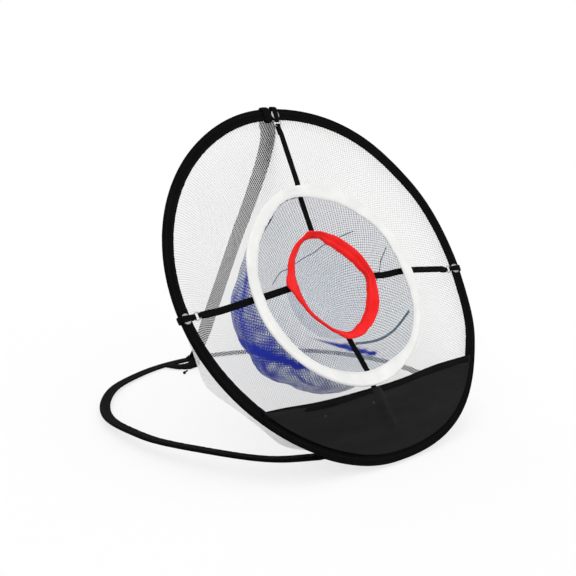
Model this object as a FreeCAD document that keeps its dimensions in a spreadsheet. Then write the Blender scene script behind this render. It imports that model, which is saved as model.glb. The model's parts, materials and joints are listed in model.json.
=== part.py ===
"""Golf chipping net: a leaning target hoop sewn along its foot to a base hoop that lies on the ground.

Units are millimetres and degrees. X is to the right seen from the front, Y to the back, Z up.
The origin is on the ground, under the middle of the whole object.
Pieces of the target are drawn flat, in the plane of the target hoop (X right, Y up the hoop,
Z out of its front, origin in the hoop's centre), and then placed with the hoop's lean.
"""
import FreeCAD, Part
import math
import os

import Sketcher
from FreeCAD import Placement, Rotation, Vector

# Driving sizes: name, value, what it is

SIZES = [
    ("hoop_dia", 500.0, "outer diameter of the target hoop's sleeve"),
    ("base_dia", 504.0, "outer diameter of the base hoop's sleeve"),
    ("sleeve_width", 17.0, "width of the flat fabric sleeve on both hoops"),
    ("sleeve_bulb", 5.2, "thickness of the sleeve round its wire"),
    ("sleeve_hem", 2.6, "thickness of the sleeve at its inner edge"),
    ("lean_angle", 34.3, "lean of the target hoop back from upright"),
    ("seam_half_chord", 115.0, "half the distance between the ends of the sewn front arc"),
    ("hoop_wire", 2.5, "diameter of the spring wire in both hoops"),
    ("ferrule_wall", 0.5, "wall of the crimped ferrules"),
    ("ferrule_length", 24.0, "length of the crimped ferrules"),
    ("ferrule_gap", 0.1, "clearance of a ferrule round its wire"),
    ("bore_gap", 0.15, "clearance of a sleeve's bore round its ferrule"),
    ("wire_butt", 0.4, "gap between the wire's ends in the ferrule"),
    ("stack_gap", 0.3, "gap between the two sewn sleeves"),
    ("crease_gap", 1.7, "distance of each sleeve's end from the fold line"),
    ("ground_flat", 0.5, "how far the ground flattens the sleeves it carries"),
    ("white_dia", 283.0, "outer diameter of the white ring"),
    ("white_width", 17.0, "width of the white ring's band"),
    ("white_bulb", 6.0, "thickness of the white ring round its wire"),
    ("red_dia", 146.0, "outer diameter of the red ring"),
    ("red_width", 13.5, "width of the red ring's band"),
    ("red_bulb", 4.8, "thickness of the red ring round its wire"),
    ("ring_hem", 2.4, "thickness of the two rings at their inner edge"),
    ("ring_wire", 2.0, "diameter of the wire in the two rings"),
    ("ring_drop", 8.0, "distance of the rings' centre below the hoop's centre"),
    ("strap_width", 9.0, "width of the cross straps"),
    ("strap_thick", 1.2, "thickness of the cross straps and the tie loops"),
    ("strap_fold", 15.0, "length of the strap that is folded back and stitched"),
    ("side_drop", 17.5, "height of the side straps' outer ends below the hoop's centre"),
    ("side_rise", 4.0, "height of the side straps' line over the rings' centre"),
    ("strap_gap", 0.4, "gap between a strap and the ring in front of it"),
    ("strap_eye", 5.0, "width of the straps where they go round their link rings"),
    ("link_dia", 11.0, "outer diameter of the link rings"),
    ("link_wire", 1.5, "wire diameter of the link rings"),
    ("link_reach", 4.5, "distance from the sleeve's inner edge to the link ring"),
    ("loop_width", 7.0, "width of the tie loops"),
    ("loop_gap", 1.2, "clearance of the loops round the sleeve, for the eyelets and the net's tape"),
    ("eyelet_od", 16.0, "outer diameter of the eyelets"),
    ("eyelet_hole_dia", 7.0, "diameter of the hole of the eyelets"),
    ("eyelet_thick", 0.6, "thickness of the eyelets"),
    ("seam_tape_width", 5.0, "width of the tape between the two sewn sleeves"),
    ("fit_gap", 0.1, "gap between sewn layers"),
    ("apron_gap", 3.5, "gap between the white ring's foot and the middle of the apron's top edge"),
    ("apron_sag", 9.0, "sag of the apron's top edge in its middle"),
    ("apron_thick", 0.8, "thickness of the apron"),
    ("apron_lap", 5.0, "lap of the apron on the sleeve"),
    ("apron_hem_width", 9.0, "width of the apron's folded hem"),
    ("net_wall", 1.2, "thickness that stands for a net"),
    ("net_tape_width", 6.0, "width of the tape that binds a net's mouth"),
    ("net_tape_thick", 0.9, "thickness of the tape that binds a net's mouth"),
    ("catch_depth", 128.0, "depth of the large net behind the hoop"),
    ("catch_end_dia", 190.0, "diameter of the large net's back"),
    ("catch_sink", 56.0, "how far the large net's back hangs down"),
    ("catch_full_factor", 1.9, "fullness of the large net: a larger power keeps its width further back"),
    ("bag_depth", 100.0, "depth of the blue bag behind the white ring"),
    ("bag_end_dia", 132.0, "diameter of the blue bag's back"),
    ("bag_sink", 38.0, "how far the blue bag's back hangs down"),
    ("bag_full_factor", 3.2, "fullness of the blue bag"),
    ("cup_depth", 56.0, "depth of the small bag behind the red ring"),
    ("cup_end_dia", 60.0, "diameter of the small bag's back"),
    ("cup_sink", 14.0, "how far the small bag's back hangs down"),
    ("cup_full_factor", 2.4, "fullness of the small bag"),
    ("notch_gap", 0.5, "clearance of a loop in its notch in the large net's edge"),
    ("stay_width", 21.0, "width of the stay strap"),
    ("stay_thick", 1.2, "thickness of the stay strap"),
    ("stay_bow", 10.0, "sag of the stay strap in its middle"),
    ("stay_top_x", -5.0, "place of the stay strap's top across the target hoop"),
    ("stay_foot_x", 25.0, "place of the stay strap's foot across the base hoop"),
    ("stay_lap", 8.0, "length of the stay strap's sewn ends"),
    ("stay_loop_width", 13.0, "width of the loops that hold the stay strap"),
    ("stay_eye", 4.0, "reach of those loops inside the sleeve's inner edge"),
    ("tail_dia", 2.4, "diameter of the stay's cord end"),
    ("tail_length", 12.0, "length of the stay's cord end"),
    ("tail_turn_angle", 30.0, "turn of the cord end towards the front"),
    ("knot_dia", 4.6, "diameter of the knot on the cord end"),
]

doc = FreeCAD.newDocument("chipping_net")
sheet = doc.addObject("Spreadsheet::Sheet", "sizes")
for row, (alias, value, note) in enumerate(SIZES, start=1):
    sheet.set("A%d" % row, alias)
    sheet.set("B%d" % row, str(value))
    sheet.set("C%d" % row, note)
    sheet.setAlias("B%d" % row, alias)
doc.recompute()


def size(alias):
    """The value of one driving size."""
    return float(sheet.get(alias))


# Places that follow from the sizes

LEAN = math.radians(size("lean_angle"))
HOOP_OUT = size("hoop_dia") / 2
HOOP_IN = HOOP_OUT - size("sleeve_width")
BULB = size("sleeve_bulb") / 2
HOOP_WIRE_R = HOOP_OUT - BULB
BASE_OUT = size("base_dia") / 2
BASE_IN = BASE_OUT - size("sleeve_width")
BASE_WIRE_R = BASE_OUT - BULB
HALF_CHORD = size("seam_half_chord")
HEM = size("sleeve_hem") / 2
STRAP_T = size("strap_thick")
RING_Y = -size("ring_drop")
WHITE_OUT = size("white_dia") / 2
RED_OUT = size("red_dia") / 2
WHITE_Z = STRAP_T / 2 + size("strap_gap") + size("white_bulb") / 2
RED_Z = STRAP_T / 2 + size("strap_gap") + size("red_bulb") / 2

# The apron's top edge passes just below the white ring; its ends lie higher by the edge's sag
APRON_DEPTH = size("ring_drop") + WHITE_OUT + size("apron_gap") - size("apron_sag")

# Where the ferrules of the hoops and rings sit, as a turn from the right
MAIN_FERRULE_ANGLE = 30
BASE_FERRULE_ANGLE = 20
RING_FERRULE_ANGLE = 40

# The fold line, in the target hoop's plane: it runs through the ends of the sewn arc,
# in the middle of the base hoop's sleeve, which lies behind the target hoop's sleeve.
FOLD_Y = -math.sqrt(HOOP_WIRE_R ** 2 - HALF_CHORD ** 2)
FOLD_Z = -(size("sleeve_bulb") + size("stack_gap"))
SEAM_ANGLE = math.degrees(math.asin(HALF_CHORD / HOOP_WIRE_R))

# Height of the fold line over the ground, and the slope of the base hoop down to its rear
FOLD_HEIGHT = (HOOP_WIRE_R + FOLD_Y) * math.cos(LEAN) + BULB - size("ground_flat")
BASE_CENTRE = math.sqrt(BASE_WIRE_R ** 2 - HALF_CHORD ** 2)
BASE_REACH = BASE_CENTRE + BASE_WIRE_R
BASE_SLOPE = math.asin((FOLD_HEIGHT + size("ground_flat") - BULB) / BASE_REACH)

# The fold line's place along Y puts the origin under the middle of the whole object
FRONT = (HOOP_WIRE_R + FOLD_Y) * math.sin(LEAN) - FOLD_Z * math.cos(LEAN) + BULB
REAR = BASE_REACH * math.cos(BASE_SLOPE) + BULB + size("fit_gap") + STRAP_T
FOLD_AT = Vector(0, (FRONT - REAR) / 2, FOLD_HEIGHT)

TARGET = Placement(FOLD_AT, Rotation(Vector(1, 0, 0), 90 - size("lean_angle"))).multiply(
    Placement(Vector(0, -FOLD_Y, -FOLD_Z), Rotation()))
BASE = Placement(FOLD_AT, Rotation(Vector(1, 0, 0), -math.degrees(BASE_SLOPE))).multiply(
    Placement(Vector(0, BASE_CENTRE, 0), Rotation()))

PARTS = []


def finish(obj, label, place=None):
    """Name a finished sub-part and put it in its place."""
    obj.Label = label
    if place is not None:
        obj.Placement = place.multiply(obj.Placement)
    PARTS.append(obj)
    return obj


def shift(x, y, z, turn=0.0):
    """A place in a flat drawing: turned about Z, then moved."""
    return Placement(Vector(x, y, z), Rotation(Vector(0, 0, 1), turn))


def origin_plane(body, role):
    """One of a body's own origin planes or axes."""
    return [f for f in body.Origin.OriginFeatures if f.Role == role][0]


def new_sketch(body, role, name):
    """A sketch on one of the body's origin planes."""
    sketch = body.newObject("Sketcher::SketchObject", name)
    sketch.AttachmentSupport = [(origin_plane(body, role), "")]
    sketch.MapMode = "FlatFace"
    return sketch


def bind(sketch, name, constraint, expression):
    """Add a named constraint and bind it to the sheet."""
    index = sketch.addConstraint(constraint)
    sketch.renameConstraint(index, name)
    sketch.setExpression("Constraints." + name, expression)


def revolve(body, sketch, angle):
    """Turn a sketch about the body's Z axis, half the angle to each side."""
    turn = body.newObject("PartDesign::Revolution", body.Name + "_turn")
    turn.Profile = sketch
    turn.ReferenceAxis = (sketch, ["V_Axis"])
    turn.Midplane = True
    if isinstance(angle, str):
        turn.setExpression("Angle", angle)
    else:
        turn.Angle = angle
    body.Tip = turn
    return turn


def band_body(name, outer, width, bulb, hem, bore):
    """A flat sleeve round a hoop's wire: thick round the wire, thin at its inner hem.

    The five last arguments are expressions of the sheet: outer radius, width, bulb radius,
    half the hem's thickness and the radius of the bore.
    """
    body = doc.addObject("PartDesign::Body", name)
    sketch = new_sketch(body, "XZ_Plane", name + "_section")
    wire_at = Vector(HOOP_WIRE_R, 0, 0)
    start = math.radians(-90)
    sketch.addGeometry(Part.ArcOfCircle(Part.Circle(wire_at, Vector(0, 0, 1), BULB), start, -start))
    corners = [wire_at + Vector(0, BULB, 0), wire_at + Vector(-12, 1, 0),
               wire_at + Vector(-12, -1, 0), wire_at + Vector(0, -BULB, 0)]
    for first, last in zip(corners, corners[1:]):
        sketch.addGeometry(Part.LineSegment(first, last))
    sketch.addGeometry(Part.Circle(wire_at, Vector(0, 0, 1), 1.0))
    for one, end, two, begin in ((0, 2, 1, 1), (1, 2, 2, 1), (2, 2, 3, 1), (3, 2, 0, 1)):
        sketch.addConstraint(Sketcher.Constraint("Coincident", one, end, two, begin))
    sketch.addConstraint(Sketcher.Constraint("PointOnObject", 0, 3, -1))
    sketch.addConstraint(Sketcher.Constraint("Coincident", 4, 3, 0, 3))
    sketch.addConstraint(Sketcher.Constraint("Vertical", 0, 1, 0, 3))
    sketch.addConstraint(Sketcher.Constraint("Vertical", 0, 2, 0, 3))
    sketch.addConstraint(Sketcher.Constraint("Symmetric", 2, 1, 2, 2, -1))
    bind(sketch, "wire_at", Sketcher.Constraint("DistanceX", -1, 1, 0, 3, HOOP_WIRE_R), outer + " - " + bulb)
    bind(sketch, "bulb", Sketcher.Constraint("Radius", 0, BULB), bulb)
    bind(sketch, "hem_at", Sketcher.Constraint("DistanceX", -1, 1, 2, 1, HOOP_IN), outer + " - " + width)
    bind(sketch, "hem", Sketcher.Constraint("DistanceY", 2, 2, 2, 1, 2 * HEM), "2 * " + hem)
    bind(sketch, "bore", Sketcher.Constraint("Radius", 4, 1.0), bore)
    revolve(body, sketch, 360)
    return body


def wire_body(name, radius, outer, angle, hole=None):
    """A wire or a tube bent round Z: its centre line's radius, its own radius and the angle it spans."""
    body = doc.addObject("PartDesign::Body", name)
    sketch = new_sketch(body, "XZ_Plane", name + "_section")
    at = Vector(HOOP_WIRE_R, 0, 0)
    sketch.addGeometry(Part.Circle(at, Vector(0, 0, 1), 2.0))
    sketch.addConstraint(Sketcher.Constraint("PointOnObject", 0, 3, -1))
    bind(sketch, "bend", Sketcher.Constraint("DistanceX", -1, 1, 0, 3, HOOP_WIRE_R), radius)
    bind(sketch, "outer", Sketcher.Constraint("Radius", 0, 2.0), outer)
    if hole:
        sketch.addGeometry(Part.Circle(at, Vector(0, 0, 1), 1.0))
        sketch.addConstraint(Sketcher.Constraint("Coincident", 1, 3, 0, 3))
        bind(sketch, "hole", Sketcher.Constraint("Radius", 1, 1.0), hole)
    revolve(body, sketch, angle)
    return body


def block(name, corner, lengths):
    """A plain box tool between a corner and its lengths."""
    box = doc.addObject("Part::Box", name)
    box.Length, box.Width, box.Height = lengths
    box.Placement = Placement(corner, Rotation())
    return box


def cut(name, base, tool):
    """The base without the tool."""
    obj = doc.addObject("Part::Cut", name)
    obj.Base = base
    obj.Tool = tool
    return obj


def solid_feature(name, shape):
    """A sub-part whose shape is worked out here."""
    obj = doc.addObject("Part::Feature", name)
    obj.Shape = shape
    return obj


def polygon_face(points):
    """A flat face through points of the drawing's X-Z plane."""
    corners = [Vector(x, 0, z) for x, z in points]
    return Part.Face(Part.makePolygon(corners + corners[:1]))


def arc_band(points, angle):
    """A flat profile of the X-Z plane turned about Z."""
    return polygon_face(points).revolve(Vector(), Vector(0, 0, 1), angle)


FAR = 2 * size("base_dia")
SLEEVE = ("sizes.sleeve_width", "sizes.sleeve_bulb / 2", "sizes.sleeve_hem / 2",
          "sizes.hoop_wire / 2 + sizes.ferrule_gap + sizes.ferrule_wall + sizes.bore_gap")


# Hoops: each has a wire, a ferrule that joins the wire's ends, and a sleeve

def hoop_wire_angle(radius):
    """Angle that a closed hoop's wire spans between its butted ends."""
    return 360 - math.degrees(size("wire_butt") / radius)


def ferrule(name, bend, wire, label, place):
    """The crimped tube over a wire's butted ends, from the wire's bend radius and its size in the sheet."""
    inside = "%s / 2 + sizes.ferrule_gap" % wire
    tube = wire_body(name, bend, inside + " + sizes.ferrule_wall",
                     "sizes.ferrule_length / (%s) * 180 / pi" % bend, inside)
    return finish(tube, label, place)


def make_main_hoop():
    """The target hoop: a whole ring in the leaning plane."""
    wire = wire_body("main_wire", "sizes.hoop_dia / 2 - sizes.sleeve_bulb / 2", "sizes.hoop_wire / 2",
                     hoop_wire_angle(HOOP_WIRE_R))
    finish(wire, "main_hoop_wire", TARGET.multiply(shift(0, 0, 0, 180 + MAIN_FERRULE_ANGLE)))
    ferrule("main_ferrule", "sizes.hoop_dia / 2 - sizes.sleeve_bulb / 2", "sizes.hoop_wire",
            "main_wire_ferrule", TARGET.multiply(shift(0, 0, 0, MAIN_FERRULE_ANGLE)))
    sleeve = band_body("main_sleeve", "sizes.hoop_dia / 2", *SLEEVE)
    finish(sleeve, "main_hoop_sleeve", TARGET)


def make_base_hoop():
    """The base hoop: its loose part on the ground, and its front arc, sewn behind the target hoop's foot."""
    gap = size("crease_gap")
    wire_gap = gap + size("hoop_wire") / 2
    spared = math.degrees(math.acos((BASE_CENTRE - wire_gap) / BASE_WIRE_R))
    wire = wire_body("base_wire", "sizes.base_dia / 2 - sizes.sleeve_bulb / 2", "sizes.hoop_wire / 2",
                     360 - 2 * spared)
    finish(wire, "base_hoop_wire", BASE.multiply(shift(0, 0, 0, 90)))
    ferrule("base_ferrule", "sizes.base_dia / 2 - sizes.sleeve_bulb / 2", "sizes.hoop_wire",
            "base_wire_ferrule", BASE.multiply(shift(0, 0, 0, BASE_FERRULE_ANGLE)))

    sleeve = band_body("base_sleeve", "sizes.base_dia / 2", *SLEEVE)
    tool = block("base_sleeve_front", Vector(-FAR, gap - BASE_CENTRE - FAR, -FAR), (2 * FAR, FAR, 2 * FAR))
    loose = cut("base_sleeve_loose", sleeve, tool)
    loose.Placement = BASE
    ground = block("ground_under_base", Vector(-FAR, -FAR, -FAR), (2 * FAR, 2 * FAR, FAR))
    finish(cut("base_sleeve_flattened", loose, ground), "base_hoop_sleeve")

    front = TARGET.multiply(shift(0, 0, FOLD_Z))
    span = 2 * math.degrees(math.acos((wire_gap - FOLD_Y) / HOOP_WIRE_R))
    wire = wire_body("front_wire", "sizes.hoop_dia / 2 - sizes.sleeve_bulb / 2", "sizes.hoop_wire / 2", span)
    finish(wire, "base_hoop_wire_front", front.multiply(shift(0, 0, 0, -90)))
    sleeve = band_body("front_sleeve", "sizes.hoop_dia / 2", *SLEEVE)
    tool = block("front_sleeve_rest", Vector(-FAR, FOLD_Y - gap, -FAR), (2 * FAR, FAR, 2 * FAR))
    arc = cut("front_sleeve_arc", sleeve, tool)
    arc.Placement = front
    ground = block("ground_under_front", Vector(-FAR, -FAR, -FAR), (2 * FAR, 2 * FAR, FAR))
    finish(cut("front_sleeve_flattened", arc, ground), "base_hoop_sleeve_front")


def sleeve_half(radius, outer, inner):
    """Half the sleeve's thickness at a distance from the hoop's centre, between hem and wire."""
    share = (radius - inner) / (outer - BULB - inner)
    return HEM + (BULB - HEM) * share


def make_seam_tape():
    """The folded tape that is stitched between the two sleeves along the front arc, behind the net's tape."""
    gap = size("fit_gap")
    net_tape = size("net_tape_thick") + gap
    points = []
    for radius in (HOOP_IN + gap, HOOP_IN + size("seam_tape_width")):
        points.append((radius, -sleeve_half(radius, HOOP_OUT, HOOP_IN) - gap - net_tape))
    for radius in (HOOP_IN + size("seam_tape_width"), HOOP_IN + gap):
        points.append((radius, FOLD_Z + sleeve_half(radius, HOOP_OUT, HOOP_IN) + gap))
    half = SEAM_ANGLE - 3
    tape = arc_band(points, 2 * half)
    tape.rotate(Vector(), Vector(0, 0, 1), -90 - half)
    finish(solid_feature("seam_tape", tape), "front_seam_tape", TARGET)


# The two rings of the target

def make_ring(colour, z):
    """One of the target's rings: wire, ferrule and fabric band."""
    place = TARGET.multiply(shift(0, RING_Y, z))
    bend = "sizes.%s_dia / 2 - sizes.%s_bulb / 2" % (colour, colour)
    radius = size(colour + "_dia") / 2 - size(colour + "_bulb") / 2
    wire = wire_body(colour + "_wire", bend, "sizes.ring_wire / 2", hoop_wire_angle(radius))
    finish(wire, colour + "_ring_wire", place.multiply(shift(0, 0, 0, 180 + RING_FERRULE_ANGLE)))
    ferrule(colour + "_ferrule", bend, "sizes.ring_wire", colour + "_ring_ferrule",
            place.multiply(shift(0, 0, 0, RING_FERRULE_ANGLE)))
    band = band_body(colour + "_band", "sizes.%s_dia / 2" % colour, "sizes.%s_width" % colour,
                     "sizes.%s_bulb / 2" % colour, "sizes.ring_hem / 2",
                     "sizes.ring_wire / 2 + sizes.ferrule_gap + sizes.ferrule_wall + sizes.bore_gap")
    finish(band, colour + "_ring_band", place)


# Straps, tie loops, link rings and eyelets

LINK_R = (size("link_dia") - size("link_wire")) / 2
LINK_AT = HOOP_IN - size("link_reach") - size("link_dia") / 2
EYE_HALF = size("link_wire") / 2 + size("fit_gap")


def ring_bow(width):
    """How far a link ring's wire bends away across a strap of this width."""
    return LINK_R - math.sqrt(LINK_R ** 2 - (width / 2) ** 2)


def make_strap(label, drop, turn, end, linked):
    """A cross strap along X: from behind the red ring outwards, and folded round its link ring.

    Its line starts at a height over the rings' centre. The end is the link ring's near wire, or the
    sewn end.
    """
    t = STRAP_T / 2
    start = RED_OUT - size("red_width") + 2
    width = size("strap_width")
    if linked:
        eye = EYE_HALF + STRAP_T
        outer = end + ring_bow(size("strap_eye")) + eye
        bend = end - 3 * eye
        back = outer - size("strap_fold")
        points = [(start, -t), (back, -t), (back, -t - STRAP_T), (bend, -t - STRAP_T), (end - EYE_HALF, -eye),
                  (outer - eye / 2, -eye), (outer, -eye / 2), (outer, eye / 2), (outer - eye / 2, eye),
                  (end - EYE_HALF, eye), (bend, t), (start, t)]
        slot = [(end - EYE_HALF, -EYE_HALF), (outer - STRAP_T, -EYE_HALF),
                (outer - STRAP_T, EYE_HALF), (end - EYE_HALF, EYE_HALF)]
        section = polygon_face(points).cut(polygon_face(slot))
        neck = size("strap_eye")
        plan = [(start, -width / 2), (bend - width / 2, -width / 2), (end - EYE_HALF, -neck / 2),
                (outer, -neck / 2), (outer, neck / 2), (end - EYE_HALF, neck / 2),
                (bend - width / 2, width / 2), (start, width / 2)]
        corners = [Vector(x, y, -FAR / 2) for x, y in plan]
        trim = Part.Face(Part.makePolygon(corners + corners[:1])).extrude(Vector(0, 0, FAR))
    else:
        section = polygon_face([(start, -t), (end, -t), (end, t), (start, t)])
        trim = None
    body = section.extrude(Vector(0, width, 0))
    body.translate(Vector(0, -width / 2, 0))
    if trim:
        body = body.common(trim)
    body.rotate(Vector(), Vector(0, 0, 1), turn)
    finish(solid_feature(label + "_shape", body), label, TARGET.multiply(shift(0, RING_Y + drop, 0)))


def loop_section(inner, gap, eye_end, eye_half):
    """Section of a webbing loop round a sleeve and round what it holds at its eye."""
    def outline(offset, corner, half):
        centre = inner + size("sleeve_width") - BULB
        top = Vector(centre, 0, BULB + offset)
        bottom = Vector(centre, 0, -BULB - offset)
        hem_top = Vector(inner, 0, HEM + offset)
        hem_low = Vector(inner, 0, -HEM - offset)
        eye_top = Vector(corner, 0, half)
        eye_low = Vector(corner, 0, -half)
        edges = [Part.Arc(top, Vector(centre + BULB + offset, 0, 0), bottom).toShape()]
        run = [bottom, hem_low, eye_low, eye_top, hem_top, top]
        for first, last in zip(run, run[1:]):
            edges.append(Part.makeLine(first, last))
        return Part.Face(Part.Wire(edges))
    return outline(gap + STRAP_T, eye_end - STRAP_T, eye_half + STRAP_T).cut(outline(gap, eye_end, eye_half))


def webbing_loop(width, *section):
    """A loop of webbing across X, its section swept along Y."""
    body = loop_section(*section).extrude(Vector(0, width, 0))
    body.translate(Vector(0, -width / 2, 0))
    return body


def make_rim_end(side, turn):
    """What holds a strap at the target hoop: eyelet, tie loop and link ring. Drawn along X."""
    place = TARGET.multiply(shift(0, 0, 0, turn))
    eye_end = LINK_AT + LINK_R - EYE_HALF - ring_bow(size("loop_width")) - size("fit_gap")
    body = webbing_loop(size("loop_width"), HOOP_IN, size("loop_gap"), eye_end, EYE_HALF)
    finish(solid_feature("loop_" + side, body), "tie_loop_" + side, place)

    ring = doc.addObject("Part::Torus", "link_" + side)
    ring.setExpression("Radius1", "(sizes.link_dia - sizes.link_wire) / 2")
    ring.setExpression("Radius2", "sizes.link_wire / 2")
    finish(ring, "link_ring_" + side, place.multiply(shift(LINK_AT, 0, 0)))

    disc = doc.addObject("Part::Cylinder", "disc_" + side)
    disc.setExpression("Radius", "sizes.eyelet_od / 2")
    disc.setExpression("Height", "sizes.eyelet_thick")
    hole = doc.addObject("Part::Cylinder", "hole_" + side)
    hole.setExpression("Radius", "sizes.eyelet_hole_dia / 2")
    hole.setExpression("Height", "sizes.eyelet_thick")
    middle = (HOOP_WIRE_R + HOOP_IN) / 2
    slope = math.degrees(math.atan((BULB - HEM) / (HOOP_WIRE_R - HOOP_IN)))
    height = sleeve_half(middle, HOOP_OUT, HOOP_IN) + size("fit_gap")
    seat = Placement(Vector(middle, 0, height), Rotation(Vector(0, 1, 0), -slope))
    finish(cut("eyelet_cut_" + side, disc, hole), "eyelet_" + side, place.multiply(seat))


SIDE_ANGLE = math.degrees(math.asin(size("side_drop") / LINK_AT))


def make_straps():
    """The four cross straps and the three linked ends."""
    run_x = LINK_AT * math.cos(math.radians(SIDE_ANGLE))
    run_y = -size("side_drop") - RING_Y - size("side_rise")
    turn = math.degrees(math.atan2(run_y, run_x))
    side_end = math.hypot(run_x, run_y) - LINK_R
    make_strap("cross_strap_right", size("side_rise"), turn, side_end, True)
    make_strap("cross_strap_left", size("side_rise"), 180 - turn, side_end, True)
    make_strap("cross_strap_top", 0, 90, LINK_AT - RING_Y - LINK_R, True)
    make_strap("cross_strap_bottom", 0, -90, HOOP_IN + RING_Y - size("fit_gap"), False)
    make_rim_end("right", -SIDE_ANGLE)
    make_rim_end("left", 180 + SIDE_ANGLE)
    make_rim_end("top", 90)


# The apron across the foot of the target

def apron_shape(low, high, z, thick):
    """A plate between two sagging chords, trimmed to the sleeve's lap; the chords' ends lie at low and high."""
    reach = HOOP_IN + size("apron_lap")
    sag = size("apron_sag")
    outside = size("apron_lap")

    def chord(depth):
        half = math.sqrt(reach ** 2 - depth ** 2) + outside
        ends = [Vector(-half, -depth, z), Vector(0, -depth - sag, z), Vector(half, -depth, z)]
        return Part.Arc(*ends).toShape(), ends
    top, top_ends = chord(high)
    if low is None:
        under = [Vector(top_ends[2].x, -FAR, z), Vector(top_ends[0].x, -FAR, z)]
        edges = [top, Part.makeLine(top_ends[2], under[0]), Part.makeLine(under[0], under[1]),
                 Part.makeLine(under[1], top_ends[0])]
    else:
        foot, foot_ends = chord(low)
        edges = [top, Part.makeLine(top_ends[2], foot_ends[2]), foot, Part.makeLine(foot_ends[0], top_ends[0])]
    face = Part.Face(Part.Wire(Part.__sortEdges__(edges)))
    return face.extrude(Vector(0, 0, thick)).common(Part.makeCylinder(reach, thick, Vector(0, 0, z)))


def make_apron():
    """The black fabric pocket and its folded hem."""
    gap = size("fit_gap")
    thick = size("apron_thick")
    front = sleeve_half(HOOP_IN + size("apron_lap"), HOOP_OUT, HOOP_IN) + gap
    sheet_body = apron_shape(None, APRON_DEPTH, front, thick)
    finish(solid_feature("apron_sheet", sheet_body), "apron", TARGET)
    hem = apron_shape(APRON_DEPTH + size("apron_hem_width"), APRON_DEPTH, front + thick + gap, thick)
    finish(solid_feature("apron_hem_strip", hem), "apron_hem", TARGET)


# Nets: thin shells with an open mouth

NET_STEPS = (0.0, 0.15, 0.3, 0.45, 0.6, 0.75, 0.88, 1.0)
NET_ROUND = 0.8


def net_loft(name, kind, mouth, inset):
    """A smooth solid through circles that shrink from the mouth to the back and hang down.

    The mouth's radius is an expression of the sheet; the inset makes the solid for the inside.
    """
    circles = []
    for number, step in enumerate(NET_STEPS):
        ring = doc.addObject("Part::Circle", "%s_ring_%d" % (name, number))
        share = (1 - step ** size(kind + "_full_factor")) ** NET_ROUND
        ring.setExpression("Radius", "sizes.%s_end_dia / 2 * %.6f + (%s) * %.6f - %s"
                           % (kind, 1 - share, mouth, share, inset))
        ring.setExpression("Placement.Base.y", "-sizes.%s_sink * %.6f" % (kind, step ** 2))
        ring.setExpression("Placement.Base.z", "-(sizes.%s_depth - %s) * %.6f" % (kind, inset, step))
        circles.append(ring)
    loft = doc.addObject("Part::Loft", name)
    loft.Sections = circles
    loft.Solid = True
    loft.Ruled = False
    return loft


def above(name, obj, place, height):
    """An object in its place, cut flat at a height over the ground."""
    obj.Placement = place
    return cut(name, obj, block(name + "_ground", Vector(-FAR, -FAR, height - FAR), (2 * FAR, 2 * FAR, FAR)))


def make_net_tape(label, centre, outer, z):
    """The flat tape round a ring's net; z is its front face."""
    disc = doc.addObject("Part::Cylinder", label + "_disc")
    disc.setExpression("Radius", outer)
    disc.setExpression("Height", "sizes.net_tape_thick")
    hole = doc.addObject("Part::Cylinder", label + "_hole")
    hole.setExpression("Radius", outer + " - sizes.net_tape_width")
    hole.setExpression("Height", "sizes.net_tape_thick")
    tape = cut(label + "_cut", disc, hole)
    finish(tape, label, TARGET.multiply(shift(0, centre, z - size("net_tape_thick"))))


def make_ring_net(label, kind, mouth):
    """A bag on one of the rings: its tape lies behind the straps, and the net is sewn to the tape's back."""
    front = -(STRAP_T / 2 + size("strap_gap"))
    make_net_tape(label + "_tape", RING_Y, mouth, front)
    net_mouth = mouth + " - sizes.net_tape_width / 2"
    place = shift(0, RING_Y, front - size("net_tape_thick") - size("fit_gap"))
    outer = net_loft(label + "_outer", kind, net_mouth, "0")
    inner = net_loft(label + "_inner", kind, net_mouth, "sizes.net_wall")
    finish(cut(label + "_shell", outer, inner), label, TARGET.multiply(place))


def make_catch_net():
    """The large net: sewn to the back of the target hoop's sleeve, and lying on the ground at its foot."""
    gap = size("fit_gap")
    points = []
    for radius in (HOOP_IN + gap, HOOP_IN + size("net_tape_width")):
        points.append((radius, -sleeve_half(radius, HOOP_OUT, HOOP_IN) - gap))
    for radius, depth in reversed(points[:2]):
        points.append((radius, depth - size("net_tape_thick")))
    finish(solid_feature("catch_tape", arc_band(points, 360)), "catch_net_tape", TARGET)

    mouth = "sizes.hoop_dia / 2 - sizes.sleeve_width - 2 * sizes.fit_gap"
    place = TARGET.multiply(shift(0, 0, -HEM / 2))
    outer = above("catch_outer_on_ground", net_loft("catch_outer", "catch", mouth, "0"), place, 0.0)
    inner = above("catch_inner_on_ground", net_loft("catch_inner", "catch", mouth, "sizes.net_wall"),
                  place, size("net_wall"))
    net = cut("catch_shell", outer, inner)
    depth = HEM + size("loop_gap") + STRAP_T + size("notch_gap")
    turns = [(-SIDE_ANGLE, size("loop_width")), (180 + SIDE_ANGLE, size("loop_width")),
             (90, size("loop_width")), (stay_top_turn(), size("stay_loop_width"))]
    for number, (turn, width) in enumerate(turns):
        wide = width + 2 * size("notch_gap")
        tool = block("catch_notch_%d" % number, Vector(), (BULB + 2 * size("net_tape_width"), wide, 2 * depth))
        corner = Placement(Vector(HOOP_IN - size("net_tape_width"), -wide / 2, -depth), Rotation())
        tool.Placement = TARGET.multiply(shift(0, 0, 0, turn)).multiply(corner)
        net = cut("catch_notched_%d" % number, net, tool)
    finish(net, "catch_net")


def make_nets():
    """The large net on the hoop, the blue bag on the white ring and the small bag on the red ring."""
    make_catch_net()
    make_ring_net("blue_bag", "bag", "sizes.white_dia / 2 - sizes.white_width / 3")
    make_ring_net("inner_bag", "cup", "sizes.red_dia / 2 - sizes.red_width / 3")


# The stay: a strap from the top of the target hoop to the rear of the base hoop

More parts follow.
